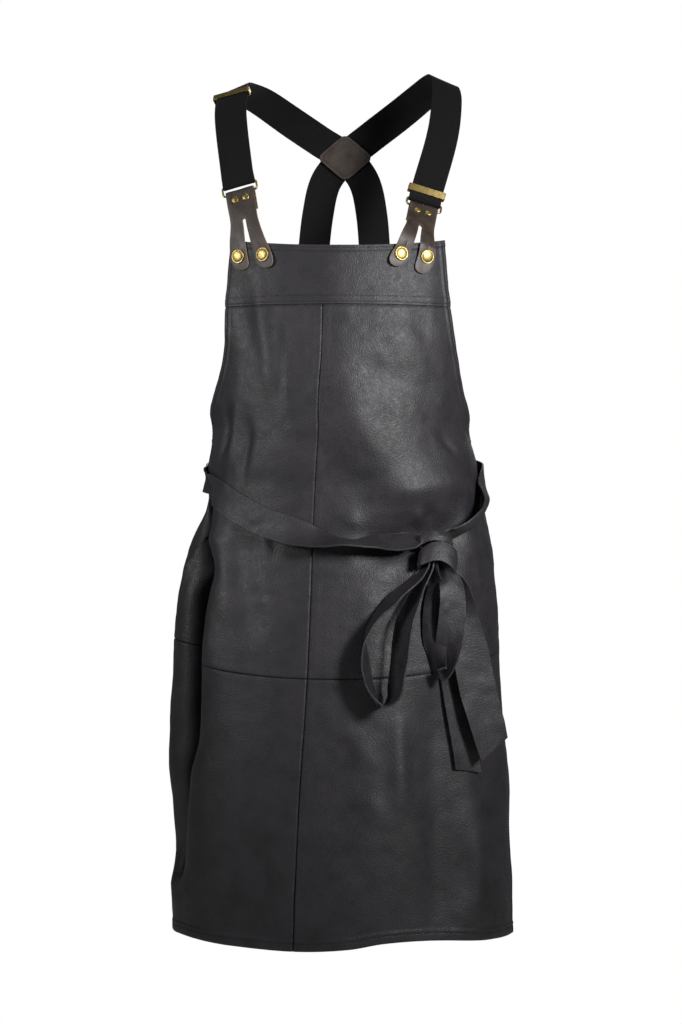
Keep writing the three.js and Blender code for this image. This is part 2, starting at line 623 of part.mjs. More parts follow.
function tabOutline() {
  const shape = new THREE.Shape();
  shape.moveTo(TAB_TOP_HALF, TAB_FLAT);
  shape.lineTo(-TAB_TOP_HALF, TAB_FLAT);
  shape.lineTo(-TAB_TOP_HALF, SHOULDER_HEIGHT);
  const outer = LEG_SPREAD + LEG_RADIUS;
  const inner = LEG_SPREAD - LEG_RADIUS;
  const { outerTop, outerLow, innerTop, innerLow } = FLARE;
  shape.bezierCurveTo(-TAB_TOP_HALF, outerTop, -outer, outerLow, -outer, LEG_RADIUS);
  shape.absarc(-LEG_SPREAD, LEG_RADIUS, LEG_RADIUS, Math.PI, 2 * Math.PI);
  shape.bezierCurveTo(-inner, innerLow, -SLOT_RADIUS, innerTop, -SLOT_RADIUS, SLOT_TOP);
  shape.absarc(0, SLOT_TOP, SLOT_RADIUS, Math.PI, 0, true);
  shape.bezierCurveTo(SLOT_RADIUS, innerTop, inner, innerLow, inner, LEG_RADIUS);
  shape.absarc(LEG_SPREAD, LEG_RADIUS, LEG_RADIUS, Math.PI, 2 * Math.PI);
  shape.bezierCurveTo(outer, outerLow, TAB_TOP_HALF, outerTop, TAB_TOP_HALF, SHOULDER_HEIGHT);
  for (const side of [-1, 1]) {
    const hole = new THREE.Path();
    const x = side * LEG_SPREAD;
    const start = Math.acos(BUTTONHOLE_HALF / BUTTONHOLE_RADIUS);
    hole.absarc(x, BUTTON_HEIGHT, BUTTONHOLE_RADIUS, Math.PI - start, start, false);
    const tip = x - side * BUTTONHOLE_LEAN;
    hole.lineTo(tip + BUTTONHOLE_HALF, BUTTON_HEIGHT + BUTTONHOLE_LENGTH);
    hole.lineTo(tip - BUTTONHOLE_HALF, BUTTON_HEIGHT + BUTTONHOLE_LENGTH);
    hole.closePath();
    shape.holes.push(hole);
    for (const height of [TAB_LENGTH - RIVET_FROM_RING, TAB_LENGTH + TAB_TURN + RIVET_FROM_RING]) {
      const rivetHole = new THREE.Path();
      rivetHole.absarc(side * RIVET_SPREAD, height, RIVET_HOLE, 0, 2 * Math.PI);
      shape.holes.push(rivetHole);
    }
  }
  return shape;
}

function asSolid(geometry) {
  geometry.deleteAttribute("normal");
  geometry.deleteAttribute("uv");
  const merged = mergeVertices(geometry, 1e-3);
  const vertProperties = new Float32Array(merged.attributes.position.array);
  const triVerts = new Uint32Array(merged.index.array);
  return new wasm.Manifold(new wasm.Mesh({ numProp: 3, vertProperties, triVerts }));
}

function asGeometry(body) {
  const mesh = body.getMesh();
  const geometry = new THREE.BufferGeometry();
  geometry.setAttribute("position", new THREE.BufferAttribute(new Float32Array(mesh.vertProperties), 3));
  geometry.setIndex(new THREE.BufferAttribute(new Uint32Array(mesh.triVerts), 1));
  return geometry;
}

// The leather is a little crowned while it is cut
const crown = (x, y) => -CROWN * ((x / LEG_SPREAD) ** 2 + (y / TAB_LENGTH) ** 2);

function flatTab() {
  const wide = 2 * (LEG_SPREAD + LEG_RADIUS + SIDE_MARGIN);
  const heights = [CUT_MARGIN];
  for (let i = 1; i <= LEG_ROWS; i += 1) heights.push((TAB_LENGTH * i) / LEG_ROWS);
  for (let i = 1; i <= TURN_ROWS; i += 1) heights.push(TAB_LENGTH + (TAB_TURN * i) / TURN_ROWS);
  heights.push(TAB_FLAT - TAB_BACK_FLAP / 2, TAB_FLAT - CUT_MARGIN);
  const rows = heights.length - 1;
  const plate = new THREE.BoxGeometry(wide, 1, TAB_THICK, 2, rows, 1);
  const hide = shaped(plate, (x, y, z) => {
    const height = heights[Math.round((y + 0.5) * rows)];
    return new THREE.Vector3(x, height, z + crown(x, height));
  });
  const die = extruded(tabOutline(), DIE_DEPTH, DIE_CURVE);
  return asGeometry(asSolid(hide).intersect(asSolid(die.translate(0, 0, -DIE_DEPTH / 2))));
}

const BRIM_ROOM = 0.8; // more room where the tab passes the bib's edge
const TAB_STRAIGHT = 16; // flat stretch below the ring

function tabPath(brace) {
  const { lowerBar, buttons, down, out } = ringAxes(brace);
  const { phi, drop } = brace.buttons;
  const axes = bodyAxes(phi, drop);
  const slope = down.clone().addScaledVector(axes.out, -down.dot(axes.out)).normalize();
  const end = { point: buttons.clone().addScaledVector(slope, BUTTON_HEIGHT), face: axes.out };
  const legs = { point: buttons, face: axes.out };
  const brim = {
    point: offBody(brace.brim.phi, brace.brim.drop, TAB_SEAT + BRIM_ROOM),
    face: bodyAxes(brace.brim.phi, brace.brim.drop).out,
  };
  const turn = halfTurn(lowerBar, out, down.clone().negate(), TAB_TURN_RADIUS);
  const top = { point: turn[0].point.clone().addScaledVector(down, TAB_STRAIGHT), face: out };
  const flapEnd = turn.at(-1).point.clone().addScaledVector(down, TAB_BACK_FLAP);
  const back = { point: flapEnd, face: out.clone().negate() };
  return freePath([end, legs, brim, top, ...turn, back]);
}

// Place on the tab's path of a height on the flat tab
const TURN_START = 4; // rows of the path
const TURN_END = TURN_START + TURN_STEPS;

function alongTab(path, height) {
  const start = path.distances[TURN_START];
  const end = path.distances[TURN_END];
  if (height <= TAB_LENGTH) return (start * height) / TAB_LENGTH;
  const share = (height - TAB_LENGTH) / TAB_TURN;
  return share <= 1 ? lerp(start, end, share) : end + height - TAB_LENGTH - TAB_TURN;
}

function tabGeometry(flat, path) {
  return shaped(flat.clone(), (x, y, z) => {
    const frame = path.frames(alongTab(path, y));
    const raised = z - crown(x, y);
    return frame.point.clone().addScaledVector(frame.wide, x).addScaledVector(frame.face, raised);
  });
}

// Turned pieces: the profile of radius and height runs from the foot up the outside to the crown
function turned(profile, segments) {
  const points = profile.map(([radius, height]) => new THREE.Vector2(radius, height));
  return new THREE.LatheGeometry(points, segments);
}

const BUTTON_SEGMENTS = 14;
const RIVET_SEGMENTS = 10;
const KNOT_SEGMENTS = 20;
const CAP_GAP = 0.5; // under the caps of buttons and rivets
const BUTTON_FOOT = TAB_THICK + TAB_SEAT - GAP; // length of the post below the cap

const BUTTON = {
  foot: 7.6,
  edge: 0.8,
  shoulder: 7.8,
  shoulderHeight: 2.2,
  dish: 5,
  dishHeight: 2.9,
  height: 3.1,
};
const RIVET = { washer: 1.2, shoulder: 3.2, shoulderHeight: 1, height: 1.6 };

function buttonGeometry() {
  const { foot, edge, shoulder, shoulderHeight, dish, dishHeight, height } = BUTTON;
  const post = [[0, -BUTTON_FOOT], [POST_RADIUS, -BUTTON_FOOT], [POST_RADIUS, 0]];
  const cap = [[foot, 0], [BUTTON_RADIUS, edge], [shoulder, shoulderHeight], [dish, dishHeight], [0, height]];
  return turned([...post, ...cap], BUTTON_SEGMENTS);
}

function rivetGeometry() {
  const post = POST_RADIUS - GAP;
  const reach = 2 * (TAB_TURN_RADIUS + TAB_THICK / 2 + CAP_GAP + GAP);
  const end = -reach - RIVET.washer;
  const rear = [[0, end], [RIVET_RADIUS, end], [RIVET_RADIUS, -reach], [post, -reach]];
  const cap = [[post, 0], [RIVET_RADIUS, 0], [RIVET.shoulder, RIVET.shoulderHeight], [0, RIVET.height]];
  return turned([...rear, ...cap], RIVET_SEGMENTS);
}

// Rear tabs: plain leather under the belt, each with one stud
const REAR_TAB = { top: 428, bottom: 522, halfAngle: 8.4, lift: 0.5, thick: 2.4, stud: 509 };

function rearTabGeometry(phi) {
  return shaped(new THREE.BoxGeometry(1, 1, 1, 4, 5, 1), (x, y, z) => {
    const lift = REAR_TAB.lift + REAR_TAB.thick * (z + 0.5);
    const drop = lerp(REAR_TAB.bottom, REAR_TAB.top, y + 0.5);
    return offBody(phi + 2 * x * REAR_TAB.halfAngle, drop, lift);
  });
}

const STUD = { foot: 6.2, radius: 7, edge: 0.7, shoulder: 6.4, shoulderHeight: 1.8, height: 2.6 };

function studGeometry() {
  const { foot, radius, edge, shoulder, shoulderHeight, height } = STUD;
  const profile = [[0, 0], [foot, 0], [radius, edge], [shoulder, shoulderHeight], [0, height]];
  return turned(profile, BUTTON_SEGMENTS);
}

// Crossing patch: a rounded diamond on each side of the two straps
const PATCH_CURVE = 4;

function patchGeometry() {
  const corners = [[1, 0], [0, 1], [-1, 0], [0, -1]].map(([x, y]) => {
    return new THREE.Vector2(x * PATCH_HALF_WIDTH, y * PATCH_HALF_HEIGHT);
  });
  const share = PATCH_CORNER / corners[0].distanceTo(corners[1]);
  const shape = new THREE.Shape();
  corners.forEach((corner, i) => {
    const from = corner.clone().lerp(corners.at(i - 1), share);
    const to = corner.clone().lerp(corners[(i + 1) % corners.length], share);
    if (i === 0) shape.moveTo(from.x, from.y);
    else shape.lineTo(from.x, from.y);
    shape.quadraticCurveTo(corner.x, corner.y, to.x, to.y);
  });
  shape.closePath();
  return extruded(shape, PATCH_THICK, PATCH_CURVE);
}

// Knot: the wrap is a bulging oval band with an open middle
function knotMesh() {
  const axes = bodyAxes(KNOT.phi, KNOT.drop);
  const slant = degToRad(KNOT.slant);
  const wide = axes.right.clone().multiplyScalar(Math.cos(slant)).addScaledVector(axes.up, -Math.sin(slant));
  const up = new THREE.Vector3().crossVectors(axes.out, wide);
  const inner = KNOT.halfDepth - BELT_THICK;
  const half = KNOT.height / 2;
  const full = KNOT.halfDepth;
  const rim = full - KNOT.bulge;
  const side = [[inner, -half], [rim, -half], [full, -half / 2], [full, half / 2], [rim, half]];
  const geometry = turned([...side, [inner, half], [inner, -half]], KNOT_SEGMENTS);
  geometry.scale(KNOT.halfWidth / KNOT.halfDepth, 1, 1);
  const seat = offBody(KNOT.phi, KNOT.drop, KNOT.out);
  return place(new THREE.Mesh(geometry, bodyLeather()), seat, wide, up);
}

// Assembly
const apron = new THREE.Group();

function add(name, mesh) {
  mesh.name = name;
  apron.add(mesh);
}

const leather = (geometry) => new THREE.Mesh(geometry, bodyLeather());
add("bib_band", leather(bandPanel()));
add("upper_panel_left", leather(upperPanel(leftHalf)));
add("upper_panel_right", leather(upperPanel(rightHalf)));
add("lower_panel_left", leather(lowerPanel(leftHalf)));
add("lower_panel_right", leather(lowerPanel(rightHalf)));
add("waist_belt", leather(bodyStrip(BELT, "down")));
add("bow_knot", knotMesh());
add("bow_loop_left", leather(bodyStrip(LOOP_LEFT, "right")));
add("bow_loop_right", leather(bodyStrip(LOOP_RIGHT, "right")));
add("bow_tail_left", leather(bodyStrip(TAIL_LEFT, "right")));
add("bow_tail_right", leather(bodyStrip(TAIL_RIGHT, "right")));

const cutTab = flatTab();
for (const brace of BRACES) {
  add(`strap_${brace.side}`, new THREE.Mesh(strapStrip(brace), webbing()));
  add(`ring_${brace.side}`, ringMesh(brace));
  add(`slider_${brace.side}`, sliderMesh(brace));
  const path = tabPath(brace);
  add(`tab_${brace.side}`, new THREE.Mesh(tabGeometry(cutTab, path), brownLeather()));
  for (const [leg, way] of [["outer", -1], ["inner", 1]]) {
    const across = brace.side === "left" ? way : -way;
    const seat = (height, spread) => {
      const { point, wide, face } = path.frames(alongTab(path, height));
      point.addScaledVector(wide, across * spread).addScaledVector(face, TAB_THICK / 2 + CAP_GAP);
      return { point, wide, face };
    };
    const button = seat(BUTTON_HEIGHT, LEG_SPREAD);
    const rivet = seat(TAB_LENGTH - RIVET_FROM_RING, RIVET_SPREAD);
    const buttonMesh = new THREE.Mesh(buttonGeometry(), brass());
    const rivetMesh = new THREE.Mesh(rivetGeometry(), brass());
    add(`button_${brace.side}_${leg}`, place(buttonMesh, button.point, button.wide, button.face));
    add(`rivet_${brace.side}_${leg}`, place(rivetMesh, rivet.point, rivet.wide, rivet.face));
  }
  const rearSide = brace.side === "left" ? "right" : "left";
  const { right, out } = bodyAxes(brace.rear.phi, REAR_TAB.stud);
  const studSeat = offBody(brace.rear.phi, REAR_TAB.stud, REAR_TAB.lift + REAR_TAB.thick + GAP);
  add(`back_tab_${rearSide}`, new THREE.Mesh(rearTabGeometry(brace.rear.phi), brownLeather()));
  add(`back_stud_${rearSide}`, place(new THREE.Mesh(studGeometry(), brass()), studSeat, right, out));
}

const acrossBack = new THREE.Vector3(1, 0, 0);
const upBack = new THREE.Vector3(0, 0, 1);
const fromMiddle = WEBBING_THICK / 2 + PATCH_GAP;
const innerFace = CROSSING.clone().setY(CROSSING.y - fromMiddle);
const outerFace = CROSSING.clone().setY(CROSSING.y + CROSSING_PITCH + fromMiddle + PATCH_THICK);
for (const [face, seat] of [["inner", innerFace], ["outer", outerFace]]) {
  const patch = new THREE.Mesh(patchGeometry(), brownLeather());
  add(`cross_patch_${face}`, place(patch, seat, acrossBack, upBack));
}

export default apron;
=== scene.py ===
import math

import bmesh
import bpy
import numpy as np
from mathutils import Matrix, Vector


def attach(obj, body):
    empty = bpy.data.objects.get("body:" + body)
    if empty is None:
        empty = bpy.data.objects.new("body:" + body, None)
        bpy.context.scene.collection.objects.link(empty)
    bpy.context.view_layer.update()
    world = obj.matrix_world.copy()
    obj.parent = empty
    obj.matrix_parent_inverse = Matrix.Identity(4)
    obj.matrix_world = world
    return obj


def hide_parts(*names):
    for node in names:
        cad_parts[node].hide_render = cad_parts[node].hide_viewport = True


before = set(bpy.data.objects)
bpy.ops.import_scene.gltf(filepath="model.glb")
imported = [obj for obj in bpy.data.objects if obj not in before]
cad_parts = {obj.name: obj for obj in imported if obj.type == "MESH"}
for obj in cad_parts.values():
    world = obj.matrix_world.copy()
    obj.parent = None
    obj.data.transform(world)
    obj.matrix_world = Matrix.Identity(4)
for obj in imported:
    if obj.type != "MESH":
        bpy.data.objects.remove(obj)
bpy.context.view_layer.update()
scene = bpy.context.scene

# The apron's own measures are millimetres, as in its pattern; meshes are metres.
# phi goes round the body in degrees (0 front, -90 left, 90 right), drop is the way below the shoulders.
MM = 0.001

HIDE = 1.4
BELT_THICK = 2.2
WEBBING_WIDTH = 40
WEBBING_THICK = 1.6
LAYER_PITCH = 2.3
BIB_TOP = 212
BIB_CORNER_RISE = 10
BIB_CORNER_ANGLE = 50
BAND_SEAM = 282
CROSS_SEAM = 729
CROSS_SEAM_RISE = 34
HEM = 1044
HEM_SIDE_FALL = 6
FULL_RISE = 1.2
GIRTH_PER_DEGREE = 2.9


def table(names, *rows):
    """Named columns of a table."""
    return {name: np.array(column, float) for name, column in zip(names.split(), zip(*rows))}


# Level sections of the worn shape: middle, half width, depth to front and back, angle of the centre seam.
SECTIONS = table(
    "drop middle half front back seam",
    (120, 0, 160, 112, 100, -6),
    (200, 0, 167, 116.5, 104, -6),
    (282, 1, 169, 121, 104, -6.4),
    (344, 3, 163, 127, 102, -8),
    (397, 2, 162, 129, 100, -9),
    (432, 3, 158, 128, 98, -9.6),
    (467, 5, 165, 125, 98, -10.6),
    (503, 6, 170, 120, 98, -11.3),
    (571, 3, 190, 118, 104, -10),
    (638, -2, 199, 126, 115, -8.7),
    (736, -4, 204, 132, 122, -9.2),
    (885, 1, 211, 138, 128, -13),
    (1050, 6, 210, 142, 130, -16.4),
)
# Angles of the free side edges, which run from the bib round the armholes to the back.
EDGES = table(
    "drop left right",
    (200, -50, 50),
    (282, -54, 53),
    (344, -60, 60.5),
    (397, -71.5, 70),
    (425, -87, 85),
    (440, -108, 103),
    (450, -138, 126),
    (464, -154, 139),
    (571, -152, 132),
    (736, -140, 108),
    (830, -132, 94),
    (1050, -118, 86),
)
# Main folds of the leather, each from one place to another: half is its half width, depth is outwards or,
# below 0, inwards, and fade is its run-out at both ends.
FOLDS = table(
    "phi drop to_phi to_drop half depth fade",
    (-96, 498, -72, 612, 37, -66, 46),
    (-70, 555, -79.8, 850, 46, -72, 55),
    (-78, 795, -91, 1000, 40, -58, 55),
    (-116, 505, -112, 1060, 40, 15, 60),
    (-62, 545, -46, 760, 26, 6, 80),
    (8, 512, 66, 488, 22, 10, 60),
    (2, 574, 58, 552, 22, -12, 50),
    (37, 690, 33, 1080, 26, -10, 120),
    (53, 860, 50, 1090, 26, 6, 90),
)
# Leather drawn straight back behind the left front edge, so that the pleat there is deep.
TUCKS = table(
    "phi drop to_phi to_drop half depth fade",
    (-101, 504, -78, 614, 16, 46, 46),
    (-77, 562, -84, 850, 18, 50, 60),
    (-82, 795, -94, 1000, 17, 40, 60),
)
# Smaller folds that the leather's weight, the belt and the tabs pull into it.
FINE_FOLDS = table(
    "phi drop to_phi to_drop half depth fade",
    (-35, 226, -31, 420, 12, 2.8, 70),
    (-45, 240, -41, 350, 13, -2.0, 50),
    (-27, 290, -21, 440, 8, 1.8, 60),
    (-24, 300, -26, 420, 7, -1.6, 50),
    (-33, 365, -30, 450, 12, -1.6, 40),
    (-57, 385, -64, 480, 8, -4.0, 40),
    (-50, 390, -58, 490, 9, 3.2, 40),
    (-43, 410, -47, 505, 9, -3.6, 40),
    (12, 292, 42, 352, 16, 1.8, 50),
    (26, 286, 48, 332, 15, -1.5, 40),
    (0, 350, 52, 398, 17, -2.4, 45),
    (-3, 366, 27, 510, 28, 3.4, 60),
    (-16, 420, 12, 545, 26, -2.4, 60),
    (46, 430, 60, 462, 8, -2.6, 25),
    (29, 520, 33, 556, 7, 2.4, 20),
    (36, 515, 38, 552, 7, -2.0, 20),
    (0, 528, 8, 556, 9, 1.6, 18),
    (-30, 543, -27, 592, 6, 1.3, 20),
    (-26, 548, -24, 600, 6, -1.0, 20),
    (-44, 528, -27, 700, 19, -4.8, 55),
    (-53, 545, -37, 690, 18, 2.6, 60),
    (22, 585, 19, 730, 12, -5.0, 60),
    (10, 590, 12, 700, 14, 1.4, 50),
    (22, 745, 20, 910, 10, 3.6, 70),
    (3, 770, 12, 850, 12, 2.0, 40),
    (6, 850, 16, 910, 12, 1.8, 35),
    (-22, 940, -15, 1020, 9, 2.6, 35),
    (46, 900, 44, 1030, 12, -3.0, 60),
    (-52, 560, -56, 800, 14, 3.0, 90),
    (-94, 512, -101, 640, 4, 4.0, 40),
    (-106, 730, -104, 900, 40, 3.6, 60),
    (92, 500, 96, 660, 60, -3.4, 60),
    (92, 860, 90, 990, 50, -2.8, 60),
)
FINE_DEPTH = 1.1
# Ripples of the leather: height, one hill's size round the body and down it, and its shift each way.
RIPPLES = (
    (1.0, 46, 210, 0, 0),
    (0.45, 24, 90, 9, 5),
    (0.3, 11, 12, 17, 8),
)
WAIST_CREASES = (0.6, 22, 9, 3, 0)
CREASED_WAIST = {"drop": 590, "half": 75}
HELD_FLAT = {"phi": 140, "half_angle": 16, "drop": 476, "half": 62}
# How far the hem falls below its plain line.
HEM_WAVE = table(
    "phi fall",
    (-100, -5),
    (-70, -3),
    (-42, 3),
    (-14, 7),
    (2, 4),
    (13, -2),
    (24, -4),
    (36, -3),
    (56, 0),
    (90, 0),
)


def smooth(places, values, x):
    """Smooth curve through the values at the rising places."""
    last = len(places) - 1
    index = np.arange(last + 1)
    before, after = np.maximum(index - 1, 0), np.minimum(index + 1, last)
    slope = (values[after] - values[before]) / (places[after] - places[before])
    i = np.clip(np.searchsorted(places, x) - 1, 0, last - 1)
    span = places[i + 1] - places[i]
    t = np.clip((x - places[i]) / span, 0, 1)
    level = values[i] + (values[i + 1] - values[i]) * (3 * t**2 - 2 * t**3)
    leave = (t**3 - 2 * t**2 + t) * span * slope[i]
    arrive = (t**3 - t**2) * span * slope[i + 1]
    return level + leave + arrive


def column(rows, name, place, by="drop"):
    return smooth(rows[by], rows[name], place)


def fade(x, low, high):
    """0 below low, 1 above high."""
    t = np.clip((x - low) / (high - low), 0, 1)
    return t * t * (3 - 2 * t)


def bell(d, height, half):
    """Height of a soft hill at d from its middle."""
    return height * np.exp(-((d / half) ** 2))


def unit(v):
    return v / np.linalg.norm(v, axis=-1, keepdims=True)


LATTICE_SIZE = 64
LATTICE = np.random.default_rng(7).uniform(-1, 1, (LATTICE_SIZE, LATTICE_SIZE))


def ripple(x, y):
    """Soft random hills and hollows, one to a unit square, from -1 to 1."""
    i, j = np.floor(x).astype(int), np.floor(y).astype(int)
    s, t = fade(x - i, 0, 1), fade(y - j, 0, 1)
    left, right = i % LATTICE_SIZE, (i + 1) % LATTICE_SIZE
    low, high = j % LATTICE_SIZE, (j + 1) % LATTICE_SIZE
    near = LATTICE[left, low] * (1 - s) + LATTICE[right, low] * s
    far = LATTICE[left, high] * (1 - s) + LATTICE[right, high] * s
    return near * (1 - t) + far * t


def waves(x, y, height, wide, tall, shift_x, shift_y):
    """Ripples of that height, their hills so wide and tall."""
    return height * ripple(x / wide + shift_x, y / tall + shift_y)


def folds(rows, phi, drop):
    """Height of a table's folds at a place."""
    depth = np.zeros(np.shape(phi))
    for row in zip(*rows.values()):
        start_phi, start_drop, to_phi, to_drop, half, height, soft = row
        line = np.array([(to_phi - start_phi) * GIRTH_PER_DEGREE, to_drop - start_drop])
        length = np.linalg.norm(line)
        x, y = (phi - start_phi) * GIRTH_PER_DEGREE, drop - start_drop
        along = (x * line[0] + y * line[1]) / length
        across = (x * line[1] - y * line[0]) / length
        ends = fade(along, 0, soft) * fade(length - along, 0, soft)
        depth += ends * bell(across, height, half)
    return depth


def hang(phi, drop):
    """Main folds alone, which carry belt and bow."""
    return folds(FOLDS, phi, drop)


def drape(phi, drop):
    """All folds and ripples of the worn leather, which lies flat under the rear tabs."""
    girth = phi * GIRTH_PER_DEGREE
    waist = bell(drop - CREASED_WAIST["drop"], 1, CREASED_WAIST["half"])
    slack = waist * waves(girth, drop, *WAIST_CREASES)
    for row in RIPPLES:
        slack = slack + waves(girth, drop, *row)
    beside = (np.abs(phi) - HELD_FLAT["phi"]) / HELD_FLAT["half_angle"]
    below = (drop - HELD_FLAT["drop"]) / HELD_FLAT["half"]
    held_flat = np.exp(-(beside**4) - below**4)
    fine = FINE_DEPTH * folds(FINE_FOLDS, phi, drop)
    return hang(phi, drop) + fine + slack * (1 - held_flat)


def body(phi, drop, form):
    """Points on the outer face of the leather."""
    phi, drop = np.broadcast_arrays(np.asarray(phi, float), np.asarray(drop, float))
    angle = np.radians(phi)
    half = column(SECTIONS, "half", drop)
    front, back = column(SECTIONS, "front", drop), column(SECTIONS, "back", drop)
    depth = np.where(np.cos(angle) >= 0, front, back)
    out = unit(np.stack([np.sin(angle) / half, -np.cos(angle) / depth, 0 * phi], -1))
    middle = column(SECTIONS, "middle", drop)
    bare = np.stack([middle + half * np.sin(angle), -depth * np.cos(angle), -drop], -1)
    wrapped = (phi + 180) % 360 - 180
    tucked = folds(TUCKS, wrapped, drop)[..., None] * (0, 1, 0)
    return bare + out * form(wrapped, drop)[..., None] + tucked


def axes(phi, drop, form):
    """Right, up and out on the leather."""
    right = unit(body(phi + 0.5, drop, form) - body(phi - 0.5, drop, form))
    up = unit(body(phi, drop - 1.0, form) - body(phi, drop + 1.0, form))
    out = unit(np.cross(right, up))
    return right, np.cross(out, right), out


def off_body(phi, drop, lift, form=hang):
    phi, drop = np.asarray(phi, float), np.asarray(drop, float)
    return body(phi, drop, form) + axes(phi, drop, form)[2] * np.asarray(lift, float)[..., None]


def clear_of_body(points, clear):
    """Points moved out, where they have to be, to lie that far off the leather."""
    drop = -points[:, 2]
    side = (points[:, 0] - column(SECTIONS, "middle", drop)) / column(SECTIONS, "half", drop)
    depth = np.where(points[:, 1] < 0, column(SECTIONS, "front", drop), column(SECTIONS, "back", drop))
    phi = np.degrees(np.arctan2(side, -points[:, 1] / depth))
    out = axes(phi, drop, drape)[2]
    lift = np.sum((points - body(phi, drop, drape)) * out, -1)
    return points + out * np.maximum(clear - lift, 0)[:, None]


# Seams and edges: heights over the plain leather at d mm from them

UNDERLAP = 6.0
HEM_FOLD = {"top": 7, "side": 9, "hem": 13}
STITCH_FROM_EDGE = {"top": 3.2, "side": 4.8, "hem": 9.6}
BAND_ROWS_UP = (2.2, 9.6)
# Rise over a second layer behind the leather, or fall under one before it: height, where it is full, its end.
TURNED_LAYER = (0.9, -1, 2.5)
SEAM_LAYER = (0.25, 6, 11)
UNDER_LAYER = (1.75, 0, 1.5)
BAND_LAYER = (1.1, 9, 22)
BAND_TUCK = (1.3, -1, 5)
# Depth and half width of soft grooves.
STITCH_GROOVE = (0.4, 1.2)
TURNED_ROLL = (0.5, 1.1)
SEAM_ROLL = (0.4, 1.1)
BAND_ROLL = (0.6, 1.2)
# Reach of the rub at edges, and of the painted shade that darkens plain seams.
EDGE_RUB = 3.0
SEAM_SHADE = 0.95


def layer(d, height, full, end):
    return height * (1 - fade(d, full, end))


def turned_edge(d, kind):
    """An edge that is folded under and stitched down."""
    double = layer(d - HEM_FOLD[kind], *TURNED_LAYER)
    return double - bell(d - STITCH_FROM_EDGE[kind], *STITCH_GROOVE) - bell(d, *TURNED_ROLL)


def upper_side(d):
    """The panel that lies on top at a plain seam, its edge rolled in."""
    return layer(d, *SEAM_LAYER) - bell(d, *SEAM_ROLL)


def under_side(d):
    """The panel that goes under it."""
    return layer(d, *SEAM_LAYER) - layer(d, *UNDER_LAYER)


def left_edge(drop):
    return column(EDGES, "left", drop)


def right_edge(drop):
    return column(EDGES, "right", drop)


def centre_seam(drop):
    return column(SECTIONS, "seam", drop)


def bib_top(phi):
    return BIB_TOP - BIB_CORNER_RISE * (phi / BIB_CORNER_ANGLE) ** 2


def sideways(phi):
    return np.minimum(1 - np.cos(np.radians(phi)), FULL_RISE)


def cross_seam(phi):
    return CROSS_SEAM - CROSS_SEAM_RISE * sideways(phi)


def hem_line(phi):
    return HEM + HEM_SIDE_FALL * sideways(phi) + column(HEM_WAVE, "fall", phi, by="phi")


def from_side(phi, drop, edge, sign):
    """Way from a free side edge, measured square to it."""
    slope = (edge(drop + 1.0) - edge(drop - 1.0)) / 2 * GIRTH_PER_DEGREE
    return sign * (phi - edge(drop)) * GIRTH_PER_DEGREE / np.sqrt(1 + slope**2)


def seam_heights(part, phi, drop):
    """Height of a panel's seams and edges, and how near it is to an edge, 1, or deep in a plain seam, -1,
    which is painted shade.
    """
    height, near = np.zeros(phi.shape), np.zeros(phi.shape)
    left, right = from_side(phi, drop, left_edge, 1), from_side(phi, drop, right_edge, -1)
    seams = []
    if part == "band":
        above, top = BAND_SEAM - drop, drop - bib_top(phi)
        height += turned_edge(top, "top") + turned_edge(left, "side") + turned_edge(right, "side")
        height += layer(above, *BAND_LAYER) - bell(above, *BAND_ROLL)
        for row in BAND_ROWS_UP:
            height -= bell(above - row, *STITCH_GROOVE)
        edges = [above, top, left, right]
    else:
        at_left = part.endswith("left")
        side = left if at_left else right
        seam = (phi - centre_seam(drop)) * GIRTH_PER_DEGREE
        below = drop - cross_seam(phi)
        height += turned_edge(side, "side")
        height += under_side(-seam) if at_left else upper_side(seam)
        edges, seams = [side], [seam, below]
        if part.startswith("upper"):
            height -= layer(drop - BAND_SEAM, *BAND_TUCK)
            height += upper_side(-below)
        else:
            height += under_side(below) + turned_edge(hem_line(phi) - drop, "hem")
            edges.append(hem_line(phi) - drop)
    for d in edges:
        near = np.maximum(near, bell(d, 1, EDGE_RUB))
    # Painted shade: deep in a plain seam the value falls to -1, which darkens the leather's colour and takes
    # away its shine.
    for d in seams:
        near = near - np.exp(-((d / SEAM_SHADE) ** 4))
    return height, np.maximum(near, -1)


def leather(part, phi, drop, lift=0.0):
    height, near = seam_heights(part, phi, drop)
    return off_body(phi, drop, height + lift, drape), near


# Finished pieces

BODY = "root"
CUT_CORNER = math.radians(55)
ROUND_STEPS = 2
EDGE_ROUND = {"panel": 0.45, "belt": 0.7, "webbing": 0.5, "slider": 0.35, "brown_leather": 0.45}


def finished(mesh, materials, node_names=()):
    """One piece of the apron, named as its mesh, standing for its CAD nodes."""
    piece = bpy.data.objects.new(mesh.name, mesh)
    scene.collection.objects.link(piece)
    for material in materials:
        mesh.materials.append(material)
    mesh.shade_smooth()
    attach(piece, BODY)
    if node_names:
        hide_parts(*node_names)
    return piece


def thicken(piece, thick, offset, round_over, rim=0):
    """Wall thickness, and rounded cut edges."""
    wall = piece.modifiers.new("thickness", "SOLIDIFY")
    wall.thickness = thick * MM
    wall.offset = offset
    wall.use_even_offset = True
    wall.material_offset_rim = rim
    edge = piece.modifiers.new("rounded edges", "BEVEL")
    edge.width = round_over * MM
    edge.segments = ROUND_STEPS
    edge.limit_method = "ANGLE"
    edge.angle_limit = CUT_CORNER
    edge.use_clamp_overlap = True
    edge.harden_normals = True
    return piece


def as_mesh(bm, name):
    mesh = bpy.data.meshes.new(name)
    bm.to_mesh(mesh)
    bm.free()
    return mesh


def spacing(*stretches):
    """Places from 0 to 1 of a sheet's lines: each stretch has a length and a step."""
    marks = [0.0]
    for length, step in stretches:
        count = max(1, round(length / step))
        start = marks[-1]
        marks.extend(start + length * (i + 1) / count for i in range(count))
    return np.array(marks) / marks[-1]


